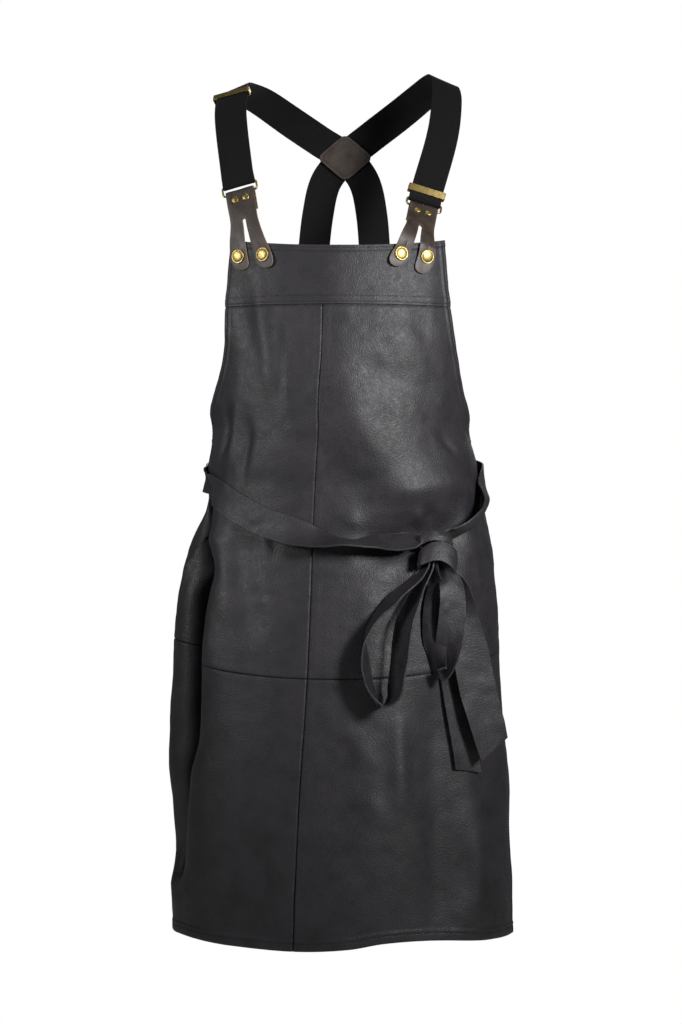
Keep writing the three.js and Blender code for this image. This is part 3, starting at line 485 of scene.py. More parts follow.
def lay_out(bm, points, cloth, near):
    """Moves a flat mesh to its points; cloth coordinates and nearness to an edge go with it."""
    uv = bm.loops.layers.uv.new("cloth")
    edge = bm.verts.layers.float.new("edge")
    for vert, point, value in zip(bm.verts, points * MM, near):
        vert.co = point
        vert[edge] = value
    bm.verts.index_update()
    cloth = cloth * MM
    for face in bm.faces:
        for loop in face.loops:
            loop[uv].uv = cloth[loop.vert.index]


def sheet_mesh(name, columns, rows, lay):
    """A grid of lines; lay() gives their points, cloth coordinates and nearness to an edge."""
    bm = bmesh.new()
    across, down = len(columns) - 1, len(rows) - 1
    bmesh.ops.create_grid(bm, x_segments=across, y_segments=down, size=0.5)
    flat = np.array([v.co for v in bm.verts])
    i = np.rint((flat[:, 0] + 0.5) * across).astype(int)
    j = np.rint((0.5 - flat[:, 1]) * down).astype(int)
    lay_out(bm, *lay(columns[i], rows[j], i, j))
    return as_mesh(bm, name)


def panel(name, part, columns, rows, angle, top, bottom, front_top, front_bottom, material):
    def lay(u, v, i, j):
        front_drop = front_top + (front_bottom - front_top) * v
        phi = angle(u, front_drop)
        drop = top(phi) + (bottom(phi) - top(phi)) * v
        points, near = leather(part, phi, drop)
        return points, np.stack([phi * GIRTH_PER_DEGREE, -drop], -1), near

    mesh = sheet_mesh(f"{name}_leather", columns, rows, lay)
    return thicken(finished(mesh, [material], [name]), HIDE, -1, EDGE_ROUND["panel"])


# Materials


def srgb(code):
    """Linear colour of an sRGB hex value."""
    parts = [int(code[i : i + 2], 16) / 255 for i in (1, 3, 5)]
    return (*[p / 12.92 if p <= 0.04045 else ((p + 0.055) / 1.055) ** 2.4 for p in parts], 1.0)


def add(tree, kind, settings=(), links=()):
    """Adds a node with its settings and links."""
    node = tree.nodes.new("ShaderNode" + kind)
    for key, value in dict(settings).items():
        if isinstance(key, str) and hasattr(node, key):
            setattr(node, key, value)
        else:
            node.inputs[key].default_value = value
    for key, source in dict(links).items():
        tree.links.new(source, node.inputs[key])
    return node


def new_material(name, settings):
    material = bpy.data.materials.new(name)
    material.use_nodes = True
    tree = material.node_tree
    shader = tree.nodes["Principled BSDF"]
    for key, value in settings.items():
        shader.inputs[key].default_value = value
    return material, tree, shader


def finish_with(tree, shader, sources):
    """Links the last nodes of a material to its shader."""
    for key, node in sources.items():
        tree.links.new(node.outputs[0], shader.inputs[key])


def colour_ends(stops, dark, light, low=0.0, high=1.0):
    """Colours of two colour stops, and where they lie."""
    for end, place, code in zip(stops, (low, high), (dark, light)):
        end.position = place
        end.color = srgb(code)


def per_mm(size):
    """Pattern scale for a feature of that many millimetres."""
    return 1 / (size * MM)


def pebbled_cowhide(name, dark, light, gloss):
    # Drum-dyed cowhide with a plated pebble grain and a semi-gloss topcoat: rounded grains of uneven size
    # with fine creases between them, which break the highlights into a soft sparkle. Edges rub lighter,
    # and plain seams are painted shade: their colour is darkened and their shine taken away.
    material, tree, shader = new_material(name, {"IOR": 1.5})
    where = add(tree, "TexCoord").outputs["Object"]
    edge = add(tree, "Attribute", {"attribute_name": "edge"}).outputs["Fac"]
    wander = add(tree, "TexNoise", {"Scale": per_mm(9), "Detail": 2.0}, {"Vector": where})
    shift = add(
        tree, "VectorMath", {"operation": "MULTIPLY_ADD", 1: (1.6 * MM,) * 3},
        {0: wander.outputs["Color"], 2: where},
    )
    grain = add(
        tree, "TexVoronoi",
        {"feature": "SMOOTH_F1", "Scale": per_mm(1.7), "Smoothness": 0.35, "Randomness": 0.95},
        {"Vector": shift.outputs[0]},
    )
    fine = add(tree, "TexNoise", {"Scale": per_mm(0.9), "Detail": 3.0}, {"Vector": where})
    broad = add(tree, "TexNoise", {"Scale": per_mm(34), "Detail": 4.0, "Roughness": 0.6}, {"Vector": where})
    crease = add(
        tree, "TexNoise", {"Scale": per_mm(7), "Detail": 5.0, "Roughness": 0.62, "Distortion": 1.2},
        {"Vector": where},
    )
    tone = add(tree, "MapRange", {"From Min": 0.32, "From Max": 0.72}, {"Value": broad.outputs["Fac"]})
    # Edges rub lighter; where edge falls below 0, deep in a plain seam, the colour gets painted shade.
    edge_toned = add(
        tree, "Math", {"operation": "MULTIPLY_ADD", 1: 0.3, "use_clamp": True}, {0: edge, 2: tone.outputs[0]}
    )
    colour = add(tree, "ValToRGB", {}, {"Fac": edge_toned.outputs[0]})
    colour_ends(colour.color_ramp.elements, dark, light)
    # Painted shade: the shine falls to nothing deep in a plain seam.
    shine = add(
        tree, "MapRange", {"From Min": -1.0, "From Max": 0.0, "To Min": 0.0, "To Max": 0.42}, {"Value": edge}
    )
    rough = add(
        tree, "MapRange", {"From Min": 0.3, "From Max": 0.7, "To Min": gloss - 0.07, "To Max": gloss + 0.1},
        {"Value": crease.outputs["Fac"]},
    )
    waves = add(tree, "Bump", {"Strength": 0.1, "Distance": 1.6 * MM}, {"Height": crease.outputs["Fac"]})
    pores = add(
        tree, "Bump", {"Strength": 0.2, "Distance": 0.3 * MM},
        {"Height": fine.outputs["Fac"], "Normal": waves.outputs[0]},
    )
    pebbles = add(
        tree, "Bump", {"Strength": 0.45, "Distance": 0.6 * MM, "invert": True},
        {"Height": grain.outputs["Distance"], "Normal": pores.outputs[0]},
    )
    finish_with(tree, shader, {
        "Base Color": colour, "Specular IOR Level": shine, "Roughness": rough, "Normal": pebbles,
    })
    return material


body_leather = pebbled_cowhide("black_pebbled_cowhide", "#19171a", "#28252a", 0.53)

# Body panels

# Grid lines lie closest along seams and edges: stretches of a length and a step.
COLUMNS_OUT = ((12, 1.2), (376, 3.3), (12, 1.1))
BAND_COLUMNS = spacing((12, 1.2), (276, 2.8), (12, 1.2))
BAND_LINES = spacing((14, 1.2), (42, 2.8), (15, 1.2))
UPPER_LINES = spacing((14, 1.2), (126, 3.4), (44, 1.3), (249, 3.3), (14, 1.2))
LOWER_LINES = spacing((8, 1.1), (289, 3.4), (18, 1.2))
BAND_UNDERLAP = 5
BAND_OVERLAP = 0.6
UNDERLAP_ANGLE = UNDERLAP / GIRTH_PER_DEGREE


def left_half(u, drop):
    return left_edge(drop) + (centre_seam(drop) + UNDERLAP_ANGLE - left_edge(drop)) * u


def right_half(u, drop):
    return centre_seam(drop) + (right_edge(drop) - centre_seam(drop)) * u


def both_halves(u, drop):
    return left_edge(drop) + (right_edge(drop) - left_edge(drop)) * u


def level(drop):
    return lambda phi: drop + 0 * phi


def lower_top(phi):
    return cross_seam(phi) - UNDERLAP


panel(
    "bib_band", "band", BAND_COLUMNS, BAND_LINES, both_halves,
    bib_top, level(BAND_SEAM + BAND_OVERLAP), BIB_TOP, BAND_SEAM, body_leather,
)
upper_start = BAND_SEAM - BAND_UNDERLAP
for side, angle, columns in (
    ("left", left_half, spacing(*COLUMNS_OUT)),
    ("right", right_half, spacing(*COLUMNS_OUT[::-1])),
):
    panel(
        f"upper_panel_{side}", f"upper_{side}", columns, UPPER_LINES, angle,
        level(upper_start), cross_seam, upper_start, CROSS_SEAM, body_leather,
    )
    panel(
        f"lower_panel_{side}", f"lower_{side}", columns, LOWER_LINES, angle,
        lower_top, hem_line, CROSS_SEAM - UNDERLAP, HEM, body_leather,
    )

# Belt and bow: bands given by angle, drop, way off the body, turn and width

BELT = table(
    "phi drop clear turn width",
    (33.6, 584, 12, 70, 14),
    (32, 572, 11, 62, 18),
    (26, 566, 2, 52, 35),
    (14, 565, 1.4, 64, 35),
    (2, 567, 1.4, 78, 35),
    (-9, 561, 1.4, 50, 35),
    (-20, 552, 1.3, 18, 35),
    (-32, 541, 1.2, 0, 35),
    (-45, 526, 1.2, 0, 35),
    (-60, 510, 2, 0, 35),
    (-76, 499, 2, 0, 35),
    (-94, 489, 2, 0, 35),
    (-120, 481, 3, 0, 35),
    (-147, 478, 5, 0, 35),
    (-180, 477, 5, 0, 35),
    (-228, 478, 5, 0, 35),
    (-252, 483, 5, 0, 35),
    (-270, 492, 7, 0, 35),
    (-284, 512, 5, 0, 35),
    (-297, 534, 2, -34, 34),
    (-308, 550, 2, -56, 32),
    (-317, 563, 8, -62, 24),
    (-321.4, 572, 12, -66, 18),
    (-322.6, 584, 12, -70, 14),
)
LOOP_LEFT = table(
    "phi drop out turn width",
    (31.2, 592, 19.5, 84, 13),
    (29.5, 603, 19.5, 78, 16),
    (25.5, 616, 19.5, 70, 26),
    (18.8, 634, 19.5, 70, 35),
    (12.4, 660, 19, 82, 35),
    (9.6, 686, 19.5, 98, 35),
    (9.8, 714, 20, 113, 35),
    (11.6, 741, 21, 110, 35),
    (14.6, 759, 23, 92, 35),
    (17.6, 750, 27, 78, 35),
    (18.9, 728, 30, 72, 35),
    (20.3, 700, 30, 70, 35),
    (22.2, 660, 26, 71, 35),
    (27.6, 622, 19, 74, 25),
    (31.4, 602, 19.5, 80, 15),
    (32.6, 592, 19.5, 86, 13),
)
LOOP_RIGHT = table(
    "phi drop out turn width",
    (35.9, 592, 20, 86, 14),
    (36.6, 602, 22, 60, 17),
    (38.6, 618, 27, 20, 28),
    (39.2, 640, 27, 8, 33),
    (39, 664, 25, 16, 33),
    (38.4, 692, 21, 44, 31),
    (37.8, 714, 17, 68, 28),
    (37, 722, 13, 76, 26),
    (36, 712, 10, 66, 26),
    (35, 684, 8.5, 34, 28),
    (34.8, 648, 8.5, 20, 26),
    (34.8, 618, 13, 50, 18),
    (33.8, 602, 18.4, 80, 15),
    (33.38, 592, 19.5, 86, 14),
)
TAIL_LEFT = table(
    "phi drop out turn width",
    (37.8, 592, 18, 86, 13),
    (38, 602, 15, 70, 13),
    (38.3, 611, 8.6, 10, 15),
    (39.2, 624, 5.4, 6, 24),
    (40.4, 655, 3, 0, 35),
    (42.6, 700, 3, 0, 35),
    (45.2, 750, 3, 0, 35),
    (47.4, 800, 3, 0, 35),
    (48.4, 842, 3, 0, 35),
)
TAIL_RIGHT = table(
    "phi drop out turn width",
    (39.5, 592, 20, 88, 12),
    (40.4, 604, 21, 78, 12),
    (42.7, 618, 21, 52, 22),
    (45.0, 640, 19, 36, 30),
    (45.8, 668, 18, 24, 42),
    (48.4, 702, 20, 18, 47),
    (50.6, 742, 23, 16, 48),
    (53.0, 780, 25, 15, 47),
    (55.6, 818, 26, 15, 44),
)
KNOT = {
    "phi": 35.5, "drop": 588, "out": 19.5, "half_width": 23.6, "half_depth": 17,
    "uneven": 0.04, "crumple": 0.9,
}
# Height of a band's creases and one crease's share of its width and length along it.
BAND_CREASES = ((1.2, 0.625, 24), (0.5, 0.25, 9))
BAND_RUB = 2.5
# Share of a band's length from which it slants to its cut end.
SLANT_FROM = 0.75


def running(points):
    """Way along a row of points."""
    return np.concatenate([[0], np.cumsum(np.linalg.norm(np.diff(points, axis=0), axis=1))])


def subdivided(knots, steps):
    """Ways along a row, with that many steps from each knot to the next."""
    count = len(knots)
    return np.interp(np.arange((count - 1) * steps + 1) / steps, np.arange(count), knots)


def body_band(rows, hangs, steps=9):
    """Frames of a leather band whose width first lies down the body, or across it."""
    turn = np.radians(rows["turn"])
    if "out" in rows:
        lift = rows["out"]
    else:
        lift = rows["clear"] + (BELT_THICK * np.cos(turn) + rows["width"] * np.abs(np.sin(turn))) / 2
    knots = running(off_body(rows["phi"], rows["drop"], lift))
    way = subdivided(knots, steps)
    columns = (rows["phi"], rows["drop"], lift, turn, rows["width"])
    phi, drop, out, angle, width = (smooth(knots, values, way)[:, None] for values in columns)
    right, up, normal = axes(phi[:, 0], drop[:, 0], hang)
    point = off_body(phi[:, 0], drop[:, 0], out[:, 0])
    hint = (-up if hangs == "round" else right) * np.cos(angle) + normal * np.sin(angle)
    along = unit(np.gradient(point, way, axis=0))
    wide = unit(hint - along * np.sum(hint * along, -1, keepdims=True))
    face = np.cross(wide, along)
    return {"point": point, "wide": wide, "face": face, "along": along, "width": width, "way": way}


def band_mesh(name, frames, lines, relief, clear=None, slant=0.0):
    """A band along its frames; relief gives the height of its face, slant the cut of its end."""
    count = len(frames["way"])

    def lay(u, v, i, j):
        k = count - 1 - j
        side, way = u - 0.5, frames["way"][k]
        cut = slant * side * fade(k / count, SLANT_FROM, 1)
        points = frames["point"][k] + frames["wide"][k] * frames["width"][k] * side[:, None]
        points = points + frames["along"][k] * cut[:, None] + frames["face"][k] * relief(side, way)[:, None]
        if clear is not None:
            points = clear_of_body(points, clear)
        across = frames["width"][k][:, 0] * side
        from_edge = frames["width"][k][:, 0] / 2 - np.abs(across)
        return points, np.stack([across, way], -1), bell(from_edge, 1, BAND_RUB)

    return sheet_mesh(name, np.linspace(0, 1, lines), np.linspace(0, 1, count), lay)


def worn_band(seed, cup):
    """Relief of a soft leather band: a little cupped, with small cross creases."""

    def relief(side, way):
        creases = sum(waves(side, way, *size, seed, seed) for size in BAND_CREASES)
        return cup * (1 - 4 * side**2) + creases

    return relief


# Each band's rows, how its width lies before it turns, its cup, its room over the leather, its end's slant.
BANDS = {
    "waist_belt": (BELT, "round", 1.0, 1.4, 0.0),
    "bow_loop_left": (LOOP_LEFT, "across", -0.8, 1.4, 0.0),
    "bow_loop_right": (LOOP_RIGHT, "across", 1.6, 1.4, 0.0),
    "bow_tail_left": (TAIL_LEFT, "across", 1.2, 1.6, 10.0),
    "bow_tail_right": (TAIL_RIGHT, "across", 1.2, 5.6, -16.0),
}
BAND_LINES_ACROSS = 15
for order, (name, (rows, hangs, cup, clear, slant)) in enumerate(BANDS.items()):
    relief = worn_band(order * 7 + 2, cup)
    mesh = band_mesh(f"{name}_leather", body_band(rows, hangs), BAND_LINES_ACROSS, relief, clear, slant)
    thicken(finished(mesh, [body_leather], [name]), BELT_THICK, 0, EDGE_ROUND["belt"])


KNOT_BANDS = table(
    "height bulge lower scale arch slant",
    (25, 0.05, 2, 1, 8, 16),
    (14, 0.08, -14, 0.86, 2, 4),
)
KNOT_STEPS = 12
KNOT_TURN_STEPS = 96


def spun(profile, axis, steps, join):
    """A shape turned about an axis from a row of points; points nearer than join become one."""
    bm = bmesh.new()
    verts = [bm.verts.new(point) for point in profile]
    edges = [bm.edges.new(pair) for pair in zip(verts, verts[1:])]
    full = {"cent": (0, 0, 0), "axis": axis, "angle": 2 * math.pi, "steps": steps}
    bmesh.ops.spin(bm, geom=verts + edges, use_merge=True, **full)
    bmesh.ops.remove_doubles(bm, verts=bm.verts, dist=join)
    return bm


def knot_wrap(name):
    """Bands wrapped round the gathered ends, arched down at their sides."""
    whole = bmesh.new()
    whole.verts.layers.float.new("edge")
    shares = np.linspace(-0.5, 0.5, KNOT_STEPS + 1)
    for seed, (height, bulge, lower, scale, arch, slant) in enumerate(zip(*KNOT_BANDS.values())):
        profile = [(KNOT["half_depth"], 0, height * share) for share in shares]
        band = spun(profile, (0, 0, 1), KNOT_TURN_STEPS, 1e-4)
        at = (np.array(KNOT["phi"]), np.array(KNOT["drop"] + lower))
        right, up, out = axes(*at, hang)
        lean = math.radians(slant)
        wide = right * math.cos(lean) - up * math.sin(lean)
        tall = np.cross(out, wide)
        seat = off_body(*at, np.array(KNOT["out"]))
        flat = np.array([v.co for v in band.verts])
        turn, place = np.arctan2(flat[:, 1], flat[:, 0]), flat[:, 2] / height
        lumps = ripple(turn * 2.2 + seed * 6, place * 3 + seed)
        creases = ripple(turn * 3 + seed, place * 2)
        grow = 1 + bulge * (1 - 4 * place**2) + KNOT["uneven"] * lumps
        x = flat[:, 0] * grow * scale * KNOT["half_width"] / KNOT["half_depth"]
        depth = -flat[:, 1] * grow * scale
        z = flat[:, 2] - arch * (x / KNOT["half_width"]) ** 2 + KNOT["crumple"] * creases
        points = seat + wide * x[:, None] + out * depth[:, None] + tall * z[:, None]
        near = bell((0.5 - np.abs(place)) * height, 1, BAND_RUB)
        edge = band.verts.layers.float.new("edge")
        for vert, point, value in zip(band.verts, points * MM, near):
            vert.co = point
            vert[edge] = value
        bmesh.ops.recalc_face_normals(band, faces=band.faces)
        part = as_mesh(band, name)
        whole.from_mesh(part)
        bpy.data.meshes.remove(part)
    return as_mesh(whole, name)


knot = finished(knot_wrap("bow_knot_leather"), [body_leather], ["bow_knot"])
thicken(knot, BELT_THICK, -1, EDGE_ROUND["belt"])

# Braces: webbing, rings, sliders and two-legged tabs

WIRE = 2.6
RING_HEIGHT = 12
RING_WIDTH = 46
RING_CORNER = 3.2
BAR_REACH = WIRE * math.sqrt(0.5)
BAR_ROOM = 0.5
TAB_THICK = 2.4
TAB_LENGTH = 97
TAB_TOP_HALF = 17.5
TAB_BACK_FLAP = 24
TAB_SEAT = TAB_THICK / 2 + 0.6
TAB_BENDS = (3.1, 1.7)
TAB_ROLL = (0.35, 1.1)
TAB_RIPPLE = (0.25, 9, 14, 4, 0)
CUT_RUB = 1.6
TAB_STRAIGHT = 16
BRIM_ROOM = 0.8
LEG_SPREAD = 16.5
LEG_RADIUS = 11
SHOULDER_HEIGHT = 68
SLOT_TOP = 60
SLOT_RADIUS = 2.4
BUTTON_HEIGHT = 16
BUTTONHOLE = {"length": 15, "half": 0.45, "radius": 2.9, "lean": 3}
LEG_TILT = 0.25
LEG_TILT_ENDS = (28, 78)
RIVET_SPREAD = 6.8
RIVET_FROM_RING = 9
CAP_GAP = 0.1
TAB_TURN_RADIUS = BAR_REACH + BAR_ROOM + TAB_THICK / 2
TAB_TURN = math.pi * TAB_TURN_RADIUS
TAB_FLAT = TAB_LENGTH + TAB_TURN + TAB_BACK_FLAP
STRAP_ROOM = 0.3
STRAP_TURN_RADIUS = BAR_REACH + STRAP_ROOM + WEBBING_THICK / 2
STRAP_STEPS = 8
STRAP_LINES = 11
STRAP_RIPPLE = (0.25, 0.5, 60, 0, 0)
WIRE_SIDES = 12
BEND_STEPS = 6
CORNER_STEPS = 5
SHARP_ANGLE = math.radians(50)
LEAD_IN = 16
REAR_LIFT = 4.3
REAR_OVERLAP = 28
TURN_STEPS = 4
SLIDER = {"width": 47, "deep": 9, "corner": 1.6, "length": 9, "wall": 1.1}

BRACES = {
    "left": {
        "rear": (133, 456),
        "bends": table(
            "x y z pitch lean",
            (92, 88, -380, 180, 30),
            (66, 99, -300, 180, 18),
            (49, 102, -215, 180, 6),
            (43, 101, -150, 180, 0),
            (33, 101, -107, 180, 0),
            (9, 101, -77, 180, 0),
            (-23, 100.2, -56, 178, 0),
            (-60, 87, -33, 162, -4),
            (-95, 52, -14, 138, -12),
            (-118, 20, -7, 106, -22),
            (-128, -8, -8, 76, -24),
            (-130.5, -33, -19, 44, -20),
            (-131, -52, -50, 22, -16),
        ),
        "ring": (-120, -67, -133, 12, -16),
        "buttons": (-38, 223.5),
        "brim": (-39.8, 205),
        "slider_row": 13,
    },
    "right": {
        "rear": (-147, 456),
        "bends": table(
            "x y z pitch lean",
            (-72, 95, -380, 180, -20),
            (-52, 101, -300, 180, -12),
            (-34, 104.6, -215, 180, -4),
            (-26, 103.8, -150, 180, 0),
            (-15.5, 103.8, -107, 180, 0),
            (9, 103.8, -77, 180, 0),
            (41, 102.8, -51, 178, 0),
            (78, 89, -24.5, 162, 4),
            (107, 52, -6, 138, 12),
            (124, 25, 4, 108, 22),
            (132, 2, 3, 70, 24),
            (134.5, -11, -19, 34, 20),
            (129, -17, -66, 16, 16),
        ),
        "ring": (106, -40, -151, 34, 14),
        "buttons": (32, 226),
        "brim": (34.6, 203),
        "slider_row": 15,
    },
}


def facing(pitch, lean):
    """Way that a strap's outer face looks."""
    up, side = np.radians(pitch), np.radians(lean)
    return np.stack([np.sin(side), -np.cos(up) * np.cos(side), np.sin(up) * np.cos(side)], -1)


def ring_axes(brace):
    x, y, z, pitch, lean = brace["ring"]
    upper = np.array([x, y, z], float)
    buttons = off_body(*brace["buttons"], TAB_SEAT)
    down = unit(buttons - upper)
    out = facing(pitch, lean)
    out = unit(out - down * (out @ down))
    return {"upper": upper, "lower": upper + down * RING_HEIGHT, "buttons": buttons, "down": down, "out": out}


def half_turn(bar, out, way, radius):
    """Points and faces of a half turn round a bar, from the front to the rear."""
    angle = np.linspace(0, math.pi, TURN_STEPS + 1)[:, None]
    face = out * np.cos(angle) + way * np.sin(angle)
    return bar + face * radius, face


def free_path(points, faces):
    """Frames at any way along a free row of points with their outward faces."""
    knots = running(points)

    def blend(values, way):
        return np.stack([smooth(knots, values[:, k], way) for k in range(3)], -1)

    def middle(way):
        inside = np.clip(way, 0, knots[-1])
        before, after = (blend(points, np.clip(inside + step, 0, knots[-1])) for step in (-0.5, 0.5))
        return blend(points, inside) + unit(after - before) * (way - inside)[:, None]

    def frames(way):
        way = np.atleast_1d(np.asarray(way, float))
        along = unit(middle(way + 0.4) - middle(way - 0.4))
        wide = unit(np.cross(along, blend(faces, np.clip(way, 0, knots[-1]))))
        return {"point": middle(way), "wide": wide, "face": np.cross(wide, along), "along": along, "way": way}

    return knots, frames


def strap_path(brace):
    ring = ring_axes(brace)
    phi, drop = brace["rear"]
    rear_drops = np.array([drop, drop - REAR_OVERLAP])
    bends = brace["bends"]
    lead = ring["upper"] - ring["down"] * LEAD_IN + ring["out"] * STRAP_TURN_RADIUS / 2
    points = np.vstack([
        off_body(phi + 0 * rear_drops, rear_drops, REAR_LIFT + 0 * rear_drops),
        np.stack([bends["x"], bends["y"], bends["z"]], -1),
        lead,
    ])
    rear_faces = axes(phi + 0.0 * rear_drops, rear_drops, hang)[2]
    faces = np.vstack([rear_faces, facing(bends["pitch"], bends["lean"]), ring["out"]])
    turn_points, turn_faces = half_turn(ring["upper"], ring["out"], ring["down"], STRAP_TURN_RADIUS)
    back_points = (points - faces * LAYER_PITCH)[brace["slider_row"] :][::-1]
    back_faces = -faces[brace["slider_row"] :][::-1]
    all_points = np.vstack([points, turn_points, back_points])
    return free_path(all_points, np.vstack([faces, turn_faces, back_faces]))


def tab_path(brace):
    ring = ring_axes(brace)
    out = axes(*(np.array(v) for v in brace["buttons"]), hang)[2]
    slope = unit(ring["down"] - out * (ring["down"] @ out))
    brim_out = axes(*(np.array(v) for v in brace["brim"]), hang)[2]
    brim = off_body(*brace["brim"], TAB_SEAT + BRIM_ROOM)
    turn_points, turn_faces = half_turn(ring["lower"], ring["out"], -ring["down"], TAB_TURN_RADIUS)
    points = np.vstack([
        ring["buttons"] + slope * BUTTON_HEIGHT,
        ring["buttons"],
        brim,
        turn_points[0] + ring["down"] * TAB_STRAIGHT,
        turn_points,
        turn_points[-1] + ring["down"] * TAB_BACK_FLAP,
    ])
    faces = np.vstack([out, out, brim_out, ring["out"], turn_faces, -ring["out"]])
    knots, frames = free_path(points, faces)
    start, end = knots[4], knots[4 + TURN_STEPS]

    def at_height(height):
        height = np.atleast_1d(np.asarray(height, float))
        share = (height - TAB_LENGTH) / TAB_TURN
        turned_way = np.where(share <= 1, start + (end - start) * share, end + height - TAB_LENGTH - TAB_TURN)
        return frames(np.where(height <= TAB_LENGTH, start * height / TAB_LENGTH, turned_way))

    return at_height


def arc(centre, radius, start, end, count):
    angle = np.linspace(start, end, count)
    return np.stack([centre[0] + radius * np.cos(angle), centre[1] + radius * np.sin(angle)], -1)


def curve(a, b, c, d, count):
    t = np.linspace(0, 1, count)[:, None]
    a, b, c, d = (np.array(p, float) for p in (a, b, c, d))
    return a * (1 - t) ** 3 + 3 * b * t * (1 - t) ** 2 + 3 * c * t**2 * (1 - t) + d * t**3


def tab_outline():
    """Outline of the flat tab and its two buttonholes."""
    outer, inner = LEG_SPREAD + LEG_RADIUS, LEG_SPREAD - LEG_RADIUS
    half = [
        curve((TAB_TOP_HALF, SHOULDER_HEIGHT), (TAB_TOP_HALF, 48), (outer, 34), (outer, LEG_RADIUS), 22),
        arc((LEG_SPREAD, LEG_RADIUS), LEG_RADIUS, 0, -math.pi, 26)[1:],
        curve((inner, LEG_RADIUS), (inner, 30), (SLOT_RADIUS, 44), (SLOT_RADIUS, SLOT_TOP), 22)[1:],
        arc((0, SLOT_TOP), SLOT_RADIUS, 0, math.pi / 2, 7)[1:],
    ]
    right = np.vstack([[(TAB_TOP_HALF, TAB_FLAT)], *half])
    left = right[:-1][::-1] * (-1, 1)
    loops = [np.vstack([right, left])]
    start = math.acos(BUTTONHOLE["half"] / BUTTONHOLE["radius"])
    for side in (-1, 1):
        x, top = side * LEG_SPREAD, BUTTON_HEIGHT + BUTTONHOLE["length"]
        round_end = arc((x, BUTTON_HEIGHT), BUTTONHOLE["radius"], math.pi - start, 2 * math.pi + start, 18)
        tip = x - side * BUTTONHOLE["lean"]
        slit_end = [(tip + BUTTONHOLE["half"], top), (tip - BUTTONHOLE["half"], top)]
        loops.append(np.vstack([round_end, slit_end]))
    return loops


def cut_flat(loops, steps):
    """Leather cut flat along its loops, with a line every few mm so that it can bend."""
    bm = bmesh.new()
    for loop in loops:
        verts = [bm.verts.new((x, y, 0)) for x, y in loop]
        for pair in zip(verts, verts[1:] + verts[:1]):
            bm.edges.new(pair)
    bmesh.ops.triangle_fill(bm, use_beauty=True, edges=bm.edges[:])
    reach = np.abs(np.vstack(loops)).max(axis=0)
    for normal, step, end in (((1, 0, 0), steps[0], reach[0]), ((0, 1, 0), steps[1], reach[1])):
        for place in np.arange(-end + step, end, step):
            geom = bm.verts[:] + bm.edges[:] + bm.faces[:]
            bmesh.ops.bisect_plane(bm, geom=geom, dist=1e-4, plane_co=Vector(normal) * place, plane_no=normal)
    bm.normal_update()
    if all(face.normal.z < 0 for face in bm.faces):
        bmesh.ops.reverse_faces(bm, faces=bm.faces)
    return bm


def lay_cut(name, bm, lay):
    """Bends cut leather into place: lay() takes flat points and their way from the edge."""
    flat = np.array([v.co for v in bm.verts])
    rim = np.array([v.co for v in bm.verts if v.is_boundary])
    from_edge = np.array([np.min(np.linalg.norm(rim - p, axis=1)) for p in flat])
    lay_out(bm, lay(flat, from_edge), flat[:, :2], bell(from_edge, 1, CUT_RUB))
    return as_mesh(bm, name)


def placed(bm, seat, wide, second):
    """Moves a shape from its own millimetres to its place: x along wide, y along second."""
    turn = Matrix([list(wide), list(second), list(np.cross(wide, second))]).transposed().to_4x4()
    move = Matrix.Translation(Vector(seat) * MM) @ turn @ Matrix.Scale(MM, 4)
    bmesh.ops.transform(bm, matrix=move, verts=bm.verts)
    return bm


def turned(profile, steps=40):
    """A turned piece from its profile of radius and height."""
    bm = spun([(radius, height, 0) for radius, height in profile], (0, 1, 0), steps, 1e-3)
    bmesh.ops.recalc_face_normals(bm, faces=bm.faces)
    return bm


def pushed(bm, edges, way):
    """Draws edges out by a way, and gives what that adds."""
    grown = bmesh.ops.extrude_edge_only(bm, edges=edges)["geom"]
    bmesh.ops.translate(bm, vec=way, verts=[g for g in grown if isinstance(g, bmesh.types.BMVert)])
    return grown


def wire_frame(width, height, corner, radius):
    """A round wire bent to a rectangle with rounded corners."""
    bm = bmesh.new()
    start = Matrix.Translation((-width / 2 + corner, -height / 2, 0)) @ Matrix.Rotation(math.pi / 2, 4, "Y")
    bmesh.ops.create_circle(bm, segments=WIRE_SIDES, radius=radius, matrix=start)
    rim = bm.edges[:]
    centres = ((1, -1), (1, 1), (-1, 1), (-1, -1))
    across, along = width - 2 * corner, height - 2 * corner
    straights = ((across, 0), (0, along), (-across, 0), (0, -along))
    for (sx, sy), (dx, dy) in zip(centres, straights):
        grown = pushed(bm, rim, (dx, dy, 0))
        rim = [g for g in grown if isinstance(g, bmesh.types.BMEdge) and all(v in grown for v in g.verts)]
        around = rim + list({v for e in rim for v in e.verts})
        bend = {
            "cent": (sx * (width / 2 - corner), sy * (height / 2 - corner), 0),
            "axis": (0, 0, 1), "angle": math.pi / 2, "steps": BEND_STEPS,
        }
        last = bmesh.ops.spin(bm, geom=around, **bend)["geom_last"]
        rim = [g for g in last if isinstance(g, bmesh.types.BMEdge)]
    bmesh.ops.remove_doubles(bm, verts=bm.verts, dist=1e-2)
    bmesh.ops.recalc_face_normals(bm, faces=bm.faces)
    return bm


def sleeve(width, deep, corner, length):
    """A flat tube with rounded corners."""
    bm = bmesh.new()
    stretch = Matrix.Diagonal((width, deep, 1, 1))
    bmesh.ops.create_grid(bm, x_segments=1, y_segments=1, size=0.5, matrix=stretch)
    bmesh.ops.bevel(
        bm, geom=bm.verts[:], offset=corner, offset_type="OFFSET", segments=CORNER_STEPS, profile=0.5,
        affect="VERTICES", material=-1,
    )
    bmesh.ops.delete(bm, geom=bm.faces[:], context="FACES_ONLY")
    bmesh.ops.translate(bm, vec=(0, 0, -length / 2), verts=bm.verts)
    pushed(bm, bm.edges[:], (0, 0, length))
    bmesh.ops.recalc_face_normals(bm, faces=bm.faces)
    return bm


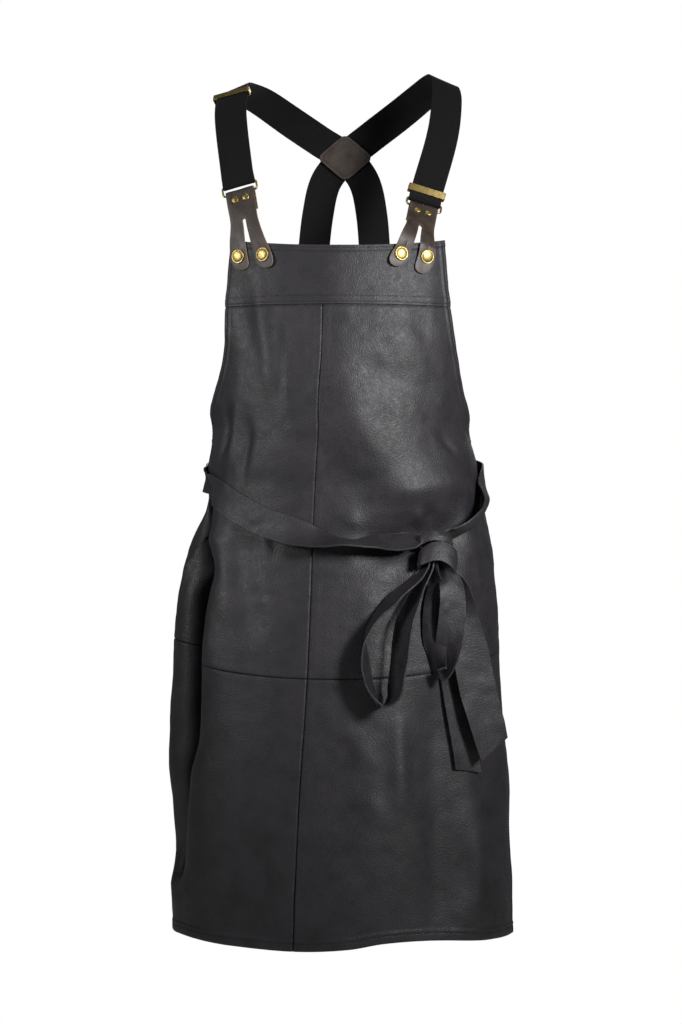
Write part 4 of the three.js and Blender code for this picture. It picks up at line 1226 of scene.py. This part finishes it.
def oiled_leather(name, dark, light, gloss):
    # Vegetable-tanned strap leather, oiled: smooth with fine pores, clouded where the oil sank in,
    # paler along its edges.
    material, tree, shader = new_material(name, {"IOR": 1.5})
    where = add(tree, "TexCoord").outputs["Object"]
    edge = add(tree, "Attribute", {"attribute_name": "edge"}).outputs["Fac"]
    cloud = add(tree, "TexNoise", {"Scale": per_mm(16), "Detail": 5.0, "Roughness": 0.6}, {"Vector": where})
    pores = add(
        tree, "TexVoronoi", {"feature": "SMOOTH_F1", "Scale": per_mm(1.1), "Smoothness": 0.4},
        {"Vector": where},
    )
    tone = add(tree, "MapRange", {"From Min": 0.3, "From Max": 0.75}, {"Value": cloud.outputs["Fac"]})
    edge_toned = add(
        tree, "Math", {"operation": "MULTIPLY_ADD", 1: 0.7, "use_clamp": True}, {0: edge, 2: tone.outputs[0]}
    )
    colour = add(tree, "ValToRGB", {}, {"Fac": edge_toned.outputs[0]})
    colour_ends(colour.color_ramp.elements, dark, light)
    rough = add(
        tree, "MapRange", {"From Min": 0.3, "From Max": 0.7, "To Min": gloss - 0.08, "To Max": gloss + 0.1},
        {"Value": cloud.outputs["Fac"]},
    )
    soft = add(tree, "Bump", {"Strength": 0.3, "Distance": 1.0 * MM}, {"Height": cloud.outputs["Fac"]})
    bump = add(
        tree, "Bump", {"Strength": 0.3, "Distance": 0.3 * MM, "invert": True},
        {"Height": pores.outputs["Distance"], "Normal": soft.outputs[0]},
    )
    finish_with(tree, shader, {"Base Color": colour, "Roughness": rough, "Normal": bump})
    return material


# A wave texture of scale 1 has a band every 0.314 units.
WAVE_BAND = 0.314


def woven_polyester(name, dark, light):
    # Narrow-woven polyester webbing: matt, with fine ribs across it and warp threads along it.
    # The ribs are 1.6 mm apart, about twice a usual weft, so that they show.
    material, tree, shader = new_material(name, {
        "Specular IOR Level": 0.2, "Roughness": 0.85, "Sheen Weight": 0.05, "Sheen Roughness": 0.4,
    })
    cloth = add(tree, "UVMap", {"uv_map": "cloth"}).outputs["UV"]
    ribs = add(
        tree, "TexWave",
        {"bands_direction": "Y", "Scale": WAVE_BAND * per_mm(1.6), "Distortion": 0.6, "Detail": 2.0},
        {"Vector": cloth},
    )
    warp = add(
        tree, "TexWave", {"bands_direction": "X", "Scale": WAVE_BAND * per_mm(1.2), "Distortion": 0.4},
        {"Vector": cloth},
    )
    fuzz = add(tree, "TexNoise", {"Scale": per_mm(3), "Detail": 6.0}, {"Vector": cloth})
    weave = add(tree, "Math", {"operation": "MULTIPLY"}, {0: ribs.outputs["Fac"], 1: warp.outputs["Fac"]})
    mixed = add(
        tree, "Math", {"operation": "MULTIPLY_ADD", 1: 0.6, "use_clamp": True},
        {0: weave.outputs[0], 2: fuzz.outputs["Fac"]},
    )
    colour = add(tree, "ValToRGB", {}, {"Fac": mixed.outputs[0]})
    colour_ends(colour.color_ramp.elements, dark, light, low=0.3)
    bump = add(tree, "Bump", {"Strength": 0.6, "Distance": 0.5 * MM}, {"Height": weave.outputs[0]})
    finish_with(tree, shader, {"Base Color": colour, "Normal": bump})
    return material


def aged_brass(name, bright, dull):
    # Stamped brass with an antique wash: satin, its dark wash left in patches, bright and smoother
    # between them.
    material, tree, shader = new_material(name, {"Metallic": 1.0})
    where = add(tree, "TexCoord").outputs["Object"]
    wash = add(tree, "TexNoise", {"Scale": per_mm(4), "Detail": 6.0, "Roughness": 0.65}, {"Vector": where})
    grit = add(tree, "TexNoise", {"Scale": per_mm(0.7), "Detail": 3.0}, {"Vector": where})
    colour = add(tree, "ValToRGB", {}, {"Fac": wash.outputs["Fac"]})
    colour_ends(colour.color_ramp.elements, dull, bright, low=0.34, high=0.6)
    rough = add(
        tree, "MapRange", {"From Min": 0.35, "From Max": 0.65, "To Min": 0.46, "To Max": 0.33},
        {"Value": wash.outputs["Fac"]},
    )
    bump = add(tree, "Bump", {"Strength": 0.1, "Distance": 0.2 * MM}, {"Height": grit.outputs["Fac"]})
    finish_with(tree, shader, {"Base Color": colour, "Roughness": rough, "Normal": bump})
    return material


strap_leather = oiled_leather("dark_brown_strap_leather", "#221a15", "#3e322a", 0.52)
cut_edge = oiled_leather("raw_cut_leather_edge", "#5f5044", "#85735f", 0.7)
webbing = woven_polyester("black_polyester_webbing", "#050506", "#101012")
brass = aged_brass("antique_brass", "#b39d63", "#77643a")

# Radius and height of turned brass.
BUTTON_PROFILE = [
    (0, -4.2), (2.2, -4.2), (2.2, 0), (7.7, 0), (8.2, 0.25), (8.45, 0.8), (8.4, 1.4), (8.1, 1.8), (7.7, 1.9),
    (7.4, 1.75), (7.1, 1.8), (6.2, 2.2), (4.8, 2.55), (2.6, 2.8), (0, 2.88),
]
RIVET_PROFILE = [
    (0, -11.6), (3.6, -11.6), (4, -11.2), (4, -10.4), (1.9, -10.4), (1.9, 0), (4.2, 0), (4.6, 0.35),
    (4.5, 0.8), (4.0, 1.2), (3.0, 1.58), (1.6, 1.8), (0, 1.86),
]
STUD_PROFILE = [
    (0, 0), (6.2, 0), (6.8, 0.3), (7, 0.8), (6.8, 1.4), (6.2, 1.9), (4.2, 2.35), (2, 2.55), (0, 2.6),
]


def metal(name, bm, seat, wide, second):
    mesh = as_mesh(placed(bm, seat, wide, second), f"{name}_brass")
    piece = finished(mesh, [brass], [name])
    mesh.set_sharp_from_angle(angle=SHARP_ANGLE)
    return piece


def cut_leather(mesh, node_name, thick):
    """Brown leather cut to its outline, with raw edges."""
    piece = finished(mesh, [strap_leather, cut_edge], [node_name])
    thicken(piece, thick, 0, EDGE_ROUND["brown_leather"], rim=1)


def webbing_relief(side, way):
    return waves(side, way, *STRAP_RIPPLE)


def make_strap(side, brace):
    """Webbing from the rear tab over the shoulder, round the ring and back; gives its slider's seat."""
    knots, frames = strap_path(brace)
    carried = frames(subdivided(knots, STRAP_STEPS))
    carried["width"] = np.full((len(carried["way"]), 1), float(WEBBING_WIDTH))
    mesh = band_mesh(f"strap_{side}_webbing", carried, STRAP_LINES, webbing_relief)
    piece = finished(mesh, [webbing], [f"strap_{side}"])
    thicken(piece, WEBBING_THICK, 0, EDGE_ROUND["webbing"])
    return {key: value[0] for key, value in frames(knots[brace["slider_row"]]).items()}


def make_ring(side, brace):
    ring = ring_axes(brace)
    up = -ring["down"]
    bent = wire_frame(RING_WIDTH - WIRE, RING_HEIGHT, RING_CORNER, WIRE / 2)
    metal(f"ring_{side}", bent, (ring["upper"] + ring["lower"]) / 2, np.cross(up, ring["out"]), up)


def make_slider(side, seat):
    tube = sleeve(SLIDER["width"], SLIDER["deep"], SLIDER["corner"], SLIDER["length"])
    middle = seat["point"] - seat["face"] * LAYER_PITCH / 2
    piece = metal(f"slider_{side}", tube, middle, seat["wide"], seat["face"])
    thicken(piece, SLIDER["wall"], -1, EDGE_ROUND["slider"])


def make_tab(side, brace):
    """A tab with its buttons and rivets; its legs are lengthened or shortened so that they hang level."""
    tab_at = tab_path(brace)
    tilt = LEG_TILT if side == "right" else -LEG_TILT

    def level_leg(x, height):
        return height + tilt * x * (1 - fade(height, *LEG_TILT_ENDS))

    def lay_tab(flat, from_edge):
        at = tab_at(level_leg(flat[:, 0], flat[:, 1]))
        relief = waves(flat[:, 0], flat[:, 1], *TAB_RIPPLE) - bell(from_edge, *TAB_ROLL)
        return at["point"] + at["wide"] * flat[:, :1] + at["face"] * relief[:, None]

    mesh = lay_cut(f"tab_{side}_leather", cut_flat(tab_outline(), TAB_BENDS), lay_tab)
    cut_leather(mesh, f"tab_{side}", TAB_THICK)
    for leg, away in (("outer", -1), ("inner", 1)):
        across = away if side == "left" else -away
        for kind, height, spread, profile in (
            ("button", BUTTON_HEIGHT, LEG_SPREAD, BUTTON_PROFILE),
            ("rivet", TAB_LENGTH - RIVET_FROM_RING, RIVET_SPREAD, RIVET_PROFILE),
        ):
            at = {key: value[0] for key, value in tab_at(level_leg(across * spread, height)).items()}
            point = at["point"] + at["wide"] * across * spread + at["face"] * (TAB_THICK / 2 + CAP_GAP)
            metal(f"{kind}_{side}_{leg}", turned(profile), point, at["wide"], at["face"])


for side, brace in BRACES.items():
    slider_seat = make_strap(side, brace)
    make_ring(side, brace)
    make_slider(side, slider_seat)
    make_tab(side, brace)

# Stitching

STITCH = {"pitch": 3.3, "length": 2.7, "thick": 0.75, "lift": 0.15}
ROW_POINTS = {"side": 900, "across": 400, "loop": 240}


def on_row(values, way, places):
    """A row's values at places along its way."""
    return np.stack([np.interp(places, way, part) for part in values.T], -1)


def stitched(name, rows, material):
    """Rows of stitches joined into one piece; a row is its points and the way that they look."""
    grain = bmesh.new()
    bmesh.ops.create_uvsphere(grain, u_segments=6, v_segments=4, radius=0.5)
    shape = np.array([v.co for v in grain.verts])
    sides, caps = (
        np.array([[v.index for v in face.verts] for face in grain.faces if len(face.verts) == corners])
        for corners in (4, 3)
    )
    grain.free()
    size = [[STITCH["length"]], [STITCH["thick"]], [STITCH["thick"]]]
    points, faces = [], []
    for line, outs in rows:
        way = running(line)
        count = max(1, round(way[-1] / STITCH["pitch"]))
        middle = (np.arange(count) + 0.5) * way[-1] / count
        start, end = (on_row(line, way, middle + reach * STITCH["length"]) for reach in (-0.5, 0.5))
        along = unit(end - start)
        side = unit(np.cross(on_row(outs, way, middle), along))
        for seat, *turn in zip(on_row(line, way, middle), along, side, np.cross(along, side)):
            first = len(points) * len(shape)
            faces += (sides + first).tolist() + (caps + first).tolist()
            points.append(seat + shape @ (np.stack(turn) * size))
    mesh = bpy.data.meshes.new(name)
    mesh.from_pydata(np.vstack(points) * MM, [], faces)
    return finished(mesh, [material])


def leather_row(part, phi, drop):
    return leather(part, phi, drop, STITCH["lift"])[0], axes(phi, drop, drape)[2]


def side_row(part, edge, sign, top, bottom):
    """Stitches along a free side edge."""
    drop = np.linspace(top, bottom, ROW_POINTS["side"])
    slope = (edge(drop + 1.0) - edge(drop - 1.0)) / 2 * GIRTH_PER_DEGREE
    inside = STITCH_FROM_EDGE["side"] * np.sqrt(1 + slope**2) / GIRTH_PER_DEGREE
    return leather_row(part, edge(drop) + sign * inside, drop)


def across_row(part, start, end, drop_at):
    phi = np.linspace(start, end, ROW_POINTS["across"])
    return leather_row(part, phi, drop_at(phi))


def waxed_thread(name, dark, light):
    # Bonded polyester thread: twisted strands with a faint wax shine.
    material, tree, shader = new_material(name, {"Roughness": 0.72, "Specular IOR Level": 0.25})
    where = add(tree, "TexCoord").outputs["Object"]
    twist = add(tree, "TexNoise", {"Scale": per_mm(0.5), "Detail": 2.0}, {"Vector": where})
    colour = add(tree, "ValToRGB", {}, {"Fac": twist.outputs["Fac"]})
    colour_ends(colour.color_ramp.elements, dark, light)
    bump = add(tree, "Bump", {"Strength": 0.4, "Distance": 0.2 * MM}, {"Height": twist.outputs["Fac"]})
    finish_with(tree, shader, {"Base Color": colour, "Normal": bump})
    return material


black_thread = waxed_thread("black_bonded_thread", "#0c0c0d", "#232325")
brown_thread = waxed_thread("dark_brown_bonded_thread", "#2a211d", "#4a3a32")

EDGE_STITCH_INSET = 1.8
SIDES = {"left": (left_edge, 1), "right": (right_edge, -1)}
# Where the band's rows of stitches start and end: angles along its top and seam, drops along its sides.
BAND_ROW_ENDS = {"top": (-48, 48), "seam": (-52.6, 51.6), "side": (BIB_TOP - 4, BAND_SEAM - 2)}
band_rows = [across_row("band", *BAND_ROW_ENDS["top"], lambda phi: bib_top(phi) + STITCH_FROM_EDGE["top"])]
band_rows += [across_row("band", *BAND_ROW_ENDS["seam"], level(BAND_SEAM - up)) for up in BAND_ROWS_UP]
band_rows += [side_row("band", *side, *BAND_ROW_ENDS["side"]) for side in SIDES.values()]
stitched("bib_band_stitches", band_rows, black_thread)
for side, (edge, sign) in SIDES.items():
    seam_end, hem_end = cross_seam(edge(700.0)), hem_line(edge(HEM))
    hem_start, hem_stop = sorted((edge(HEM - 10.0) + sign * EDGE_STITCH_INSET, centre_seam(HEM - 10.0)))
    stitched(f"edge_stitches_{side}", [
        side_row(f"upper_{side}", edge, sign, BAND_SEAM + 3, seam_end - 4),
        side_row(f"lower_{side}", edge, sign, seam_end + 3, hem_end - 12),
        across_row(f"lower_{side}", hem_start, hem_stop, lambda phi: hem_line(phi) - STITCH_FROM_EDGE["hem"]),
    ], black_thread)

# Rear tabs with their studs, and the patches sewn on both sides of the crossing

REAR_TAB = {
    "half_width": 24, "half_height": 47, "half_angle": 8.4, "corner": 12, "stitch_corner": 10,
    "middle": 475, "lift": 1.7, "stud": 509,
}
PATCH = {
    "half_width": 36, "half_height": 30.5, "corner": 9, "stitch_corner": 8, "thick": 2, "stitch": 3.2,
}
CROSSING = np.array([9.0, 101.0, -77.0])
BORDER_CREASE = 3.0
CREASE_GROOVE = (0.3, 0.9)
BORDER_ROLL = (0.3, 1.0)
BORDER_RIPPLE = (0.18, 9, 11, 21, 0)
REAR_BENDS = (3.1, 3.1)
PATCH_BENDS = (2.6, 2.6)


def rounded(corners, cut):
    """Straight sides whose corners are rounded off over the cut length."""
    corners = np.array(corners, float)
    loop = []
    for i, corner in enumerate(corners):
        start = corner + unit(corners[i - 1] - corner) * cut
        end = corner + unit(corners[(i + 1) % len(corners)] - corner) * cut
        loop.append(curve(start, (start + 2 * corner) / 3, (end + 2 * corner) / 3, end, 8))
    return np.vstack(loop)


def stitch_loop(outline, lay, out):
    """Stitches round an outline, laid as the leather is."""
    closed = np.vstack([outline, outline[:1]])
    way = running(closed)
    places = np.linspace(0, way[-1], ROW_POINTS["loop"])
    flat = np.column_stack([on_row(closed, way, places), 0 * places])
    outs = out(flat)
    return lay(flat, np.full(len(flat), BORDER_CREASE)) + outs * (TAB_THICK / 2 + CAP_GAP), outs


def border_relief(flat, from_edge):
    crease = bell(from_edge - BORDER_CREASE, *CREASE_GROOVE) + bell(from_edge, *BORDER_ROLL)
    return waves(flat[:, 0], flat[:, 1], *BORDER_RIPPLE) - crease


def back_tab(side, phi):
    """A rear tab at that angle, stitched round its border, with its stud."""
    name = f"back_tab_{side}"

    def place(flat):
        turn = flat[:, 0] / REAR_TAB["half_width"] * REAR_TAB["half_angle"]
        return phi + turn, REAR_TAB["middle"] - flat[:, 1]

    def looks(flat):
        return axes(*place(flat), hang)[2]

    def lay(flat, from_edge):
        return off_body(*place(flat), REAR_TAB["lift"] + border_relief(flat, from_edge))

    half = (REAR_TAB["half_width"], REAR_TAB["half_height"])
    shape = np.array([(1, 1), (-1, 1), (-1, -1), (1, -1)]) * half
    mesh = lay_cut(f"{name}_leather", cut_flat([rounded(shape, REAR_TAB["corner"])], REAR_BENDS), lay)
    cut_leather(mesh, name, TAB_THICK)
    seam = rounded(shape - np.sign(shape) * BORDER_CREASE, REAR_TAB["stitch_corner"])
    stitched(f"{name}_stitches", [stitch_loop(seam, lay, looks)], brown_thread)
    at = (np.array(float(phi)), np.array(float(REAR_TAB["stud"])))
    right, _, out = axes(*at, hang)
    seat = off_body(*at, np.array(REAR_TAB["lift"] + TAB_THICK / 2 + CAP_GAP))
    metal(f"back_stud_{side}", turned(STUD_PROFILE), seat, right, out)


def cross_patch(face, away, off):
    """A patch that lies off the crossing along y and looks away from it."""
    name = f"cross_patch_{face}"
    middle = CROSSING + (0, off, 0)

    def looks(flat):
        return np.tile([0.0, away, 0.0], (len(flat), 1))

    def lay(flat, from_edge):
        place = np.stack([-away * flat[:, 0], 0 * flat[:, 0], flat[:, 1]], -1)
        return middle + place + looks(flat) * border_relief(flat, from_edge)[:, None]

    half = np.array([PATCH["half_width"], PATCH["half_height"]])
    diamond = np.array([(1, 0), (0, 1), (-1, 0), (0, -1)]) * half
    mesh = lay_cut(f"{name}_leather", cut_flat([rounded(diamond, PATCH["corner"])], PATCH_BENDS), lay)
    cut_leather(mesh, name, PATCH["thick"])
    inset = 1 - PATCH["stitch"] * np.hypot(*half) / np.prod(half)
    seam = rounded(diamond * inset, PATCH["stitch_corner"])
    stitched(f"{name}_stitches", [stitch_loop(seam, lay, looks)], brown_thread)


for side, brace in (("right", BRACES["left"]), ("left", BRACES["right"])):
    back_tab(side, brace["rear"][0])
cross_patch("inner", -1, -2.3)
cross_patch("outer", 1, 5.1)

# Camera straight in front, floor and light, in metres

FOCAL_PIXELS = 2420
PICTURE_HEIGHT = 1024
SENSOR = 36
EYE = (0.0037, -3.0, -0.5306)
AMBIENT = 0.12
FLOOR_LEVEL = -1.6
FLOOR_RADIUS = 1.8
WHITE = srgb("#ffffff")

camera = bpy.data.objects.new("camera", bpy.data.cameras.new("camera"))
camera.data.sensor_width = SENSOR
camera.data.lens = SENSOR * FOCAL_PIXELS / PICTURE_HEIGHT
camera.location = EYE
camera.rotation_euler = (math.pi / 2, 0, 0)
scene.collection.objects.link(camera)
scene.camera = camera

world = bpy.data.worlds.new("studio")
scene.world = world
world.use_nodes = True
tree = world.node_tree
seen = add(tree, "LightPath")
around = tree.nodes["Background"]
around.inputs["Color"].default_value = WHITE
around.inputs["Strength"].default_value = AMBIENT
backdrop = add(tree, "Background", {"Color": WHITE, "Strength": 1.0})
either = add(
    tree, "MixShader", {}, {0: seen.outputs["Is Camera Ray"], 1: around.outputs[0], 2: backdrop.outputs[0]}
)
tree.links.new(either.outputs[0], tree.nodes["World Output"].inputs["Surface"])

floor_mesh = bmesh.new()
below = Matrix.Translation((0, 0, FLOOR_LEVEL))
bmesh.ops.create_circle(floor_mesh, cap_ends=True, segments=96, radius=FLOOR_RADIUS, matrix=below)
floor = bpy.data.objects.new("floor", as_mesh(floor_mesh, "floor"))
scene.collection.objects.link(floor)
# Matt white paper: plain and pale, with a glow of its own in place of the light of a white room.
PAPER = srgb("#f4f4f2")
matt_white, _, _ = new_material("matt_white_paper", {
    "Base Color": PAPER, "Roughness": 0.9, "Emission Color": PAPER, "Emission Strength": 0.32,
})
floor.data.materials.append(matt_white)


def softbox(name, place, aim, size, power, spread):
    light = bpy.data.lights.new(name, "AREA")
    light.shape = "RECTANGLE"
    light.size, light.size_y = size
    light.energy = power
    light.spread = math.radians(spread)
    lamp = bpy.data.objects.new(name, light)
    lamp.location = place
    lamp.rotation_euler = (Vector(aim) - Vector(place)).to_track_quat("-Z", "Y").to_euler()
    scene.collection.objects.link(lamp)


# Each light's place, aim, size, power in watts and spread in degrees.
LIGHTS = {
    "key": ((1.25, -1.55, 0.1), (0.05, -0.1, -0.4), (0.4, 0.5), 3.95, 46),
    "left": ((-1.75, -1.1, 0.05), (-0.16, -0.1, -0.36), (0.6, 0.6), 1.2, 36),
    "top": ((0.0, -0.5, 1.5), (0, 0, -0.4), (1.2, 0.8), 3, 150),
    "back": ((0.5, 2.4, 0.7), (0, 0, -0.4), (1.6, 1.4), 26, 150),
}
for name, settings in LIGHTS.items():
    softbox(name, *settings)

scene.view_settings.view_transform = "Standard"
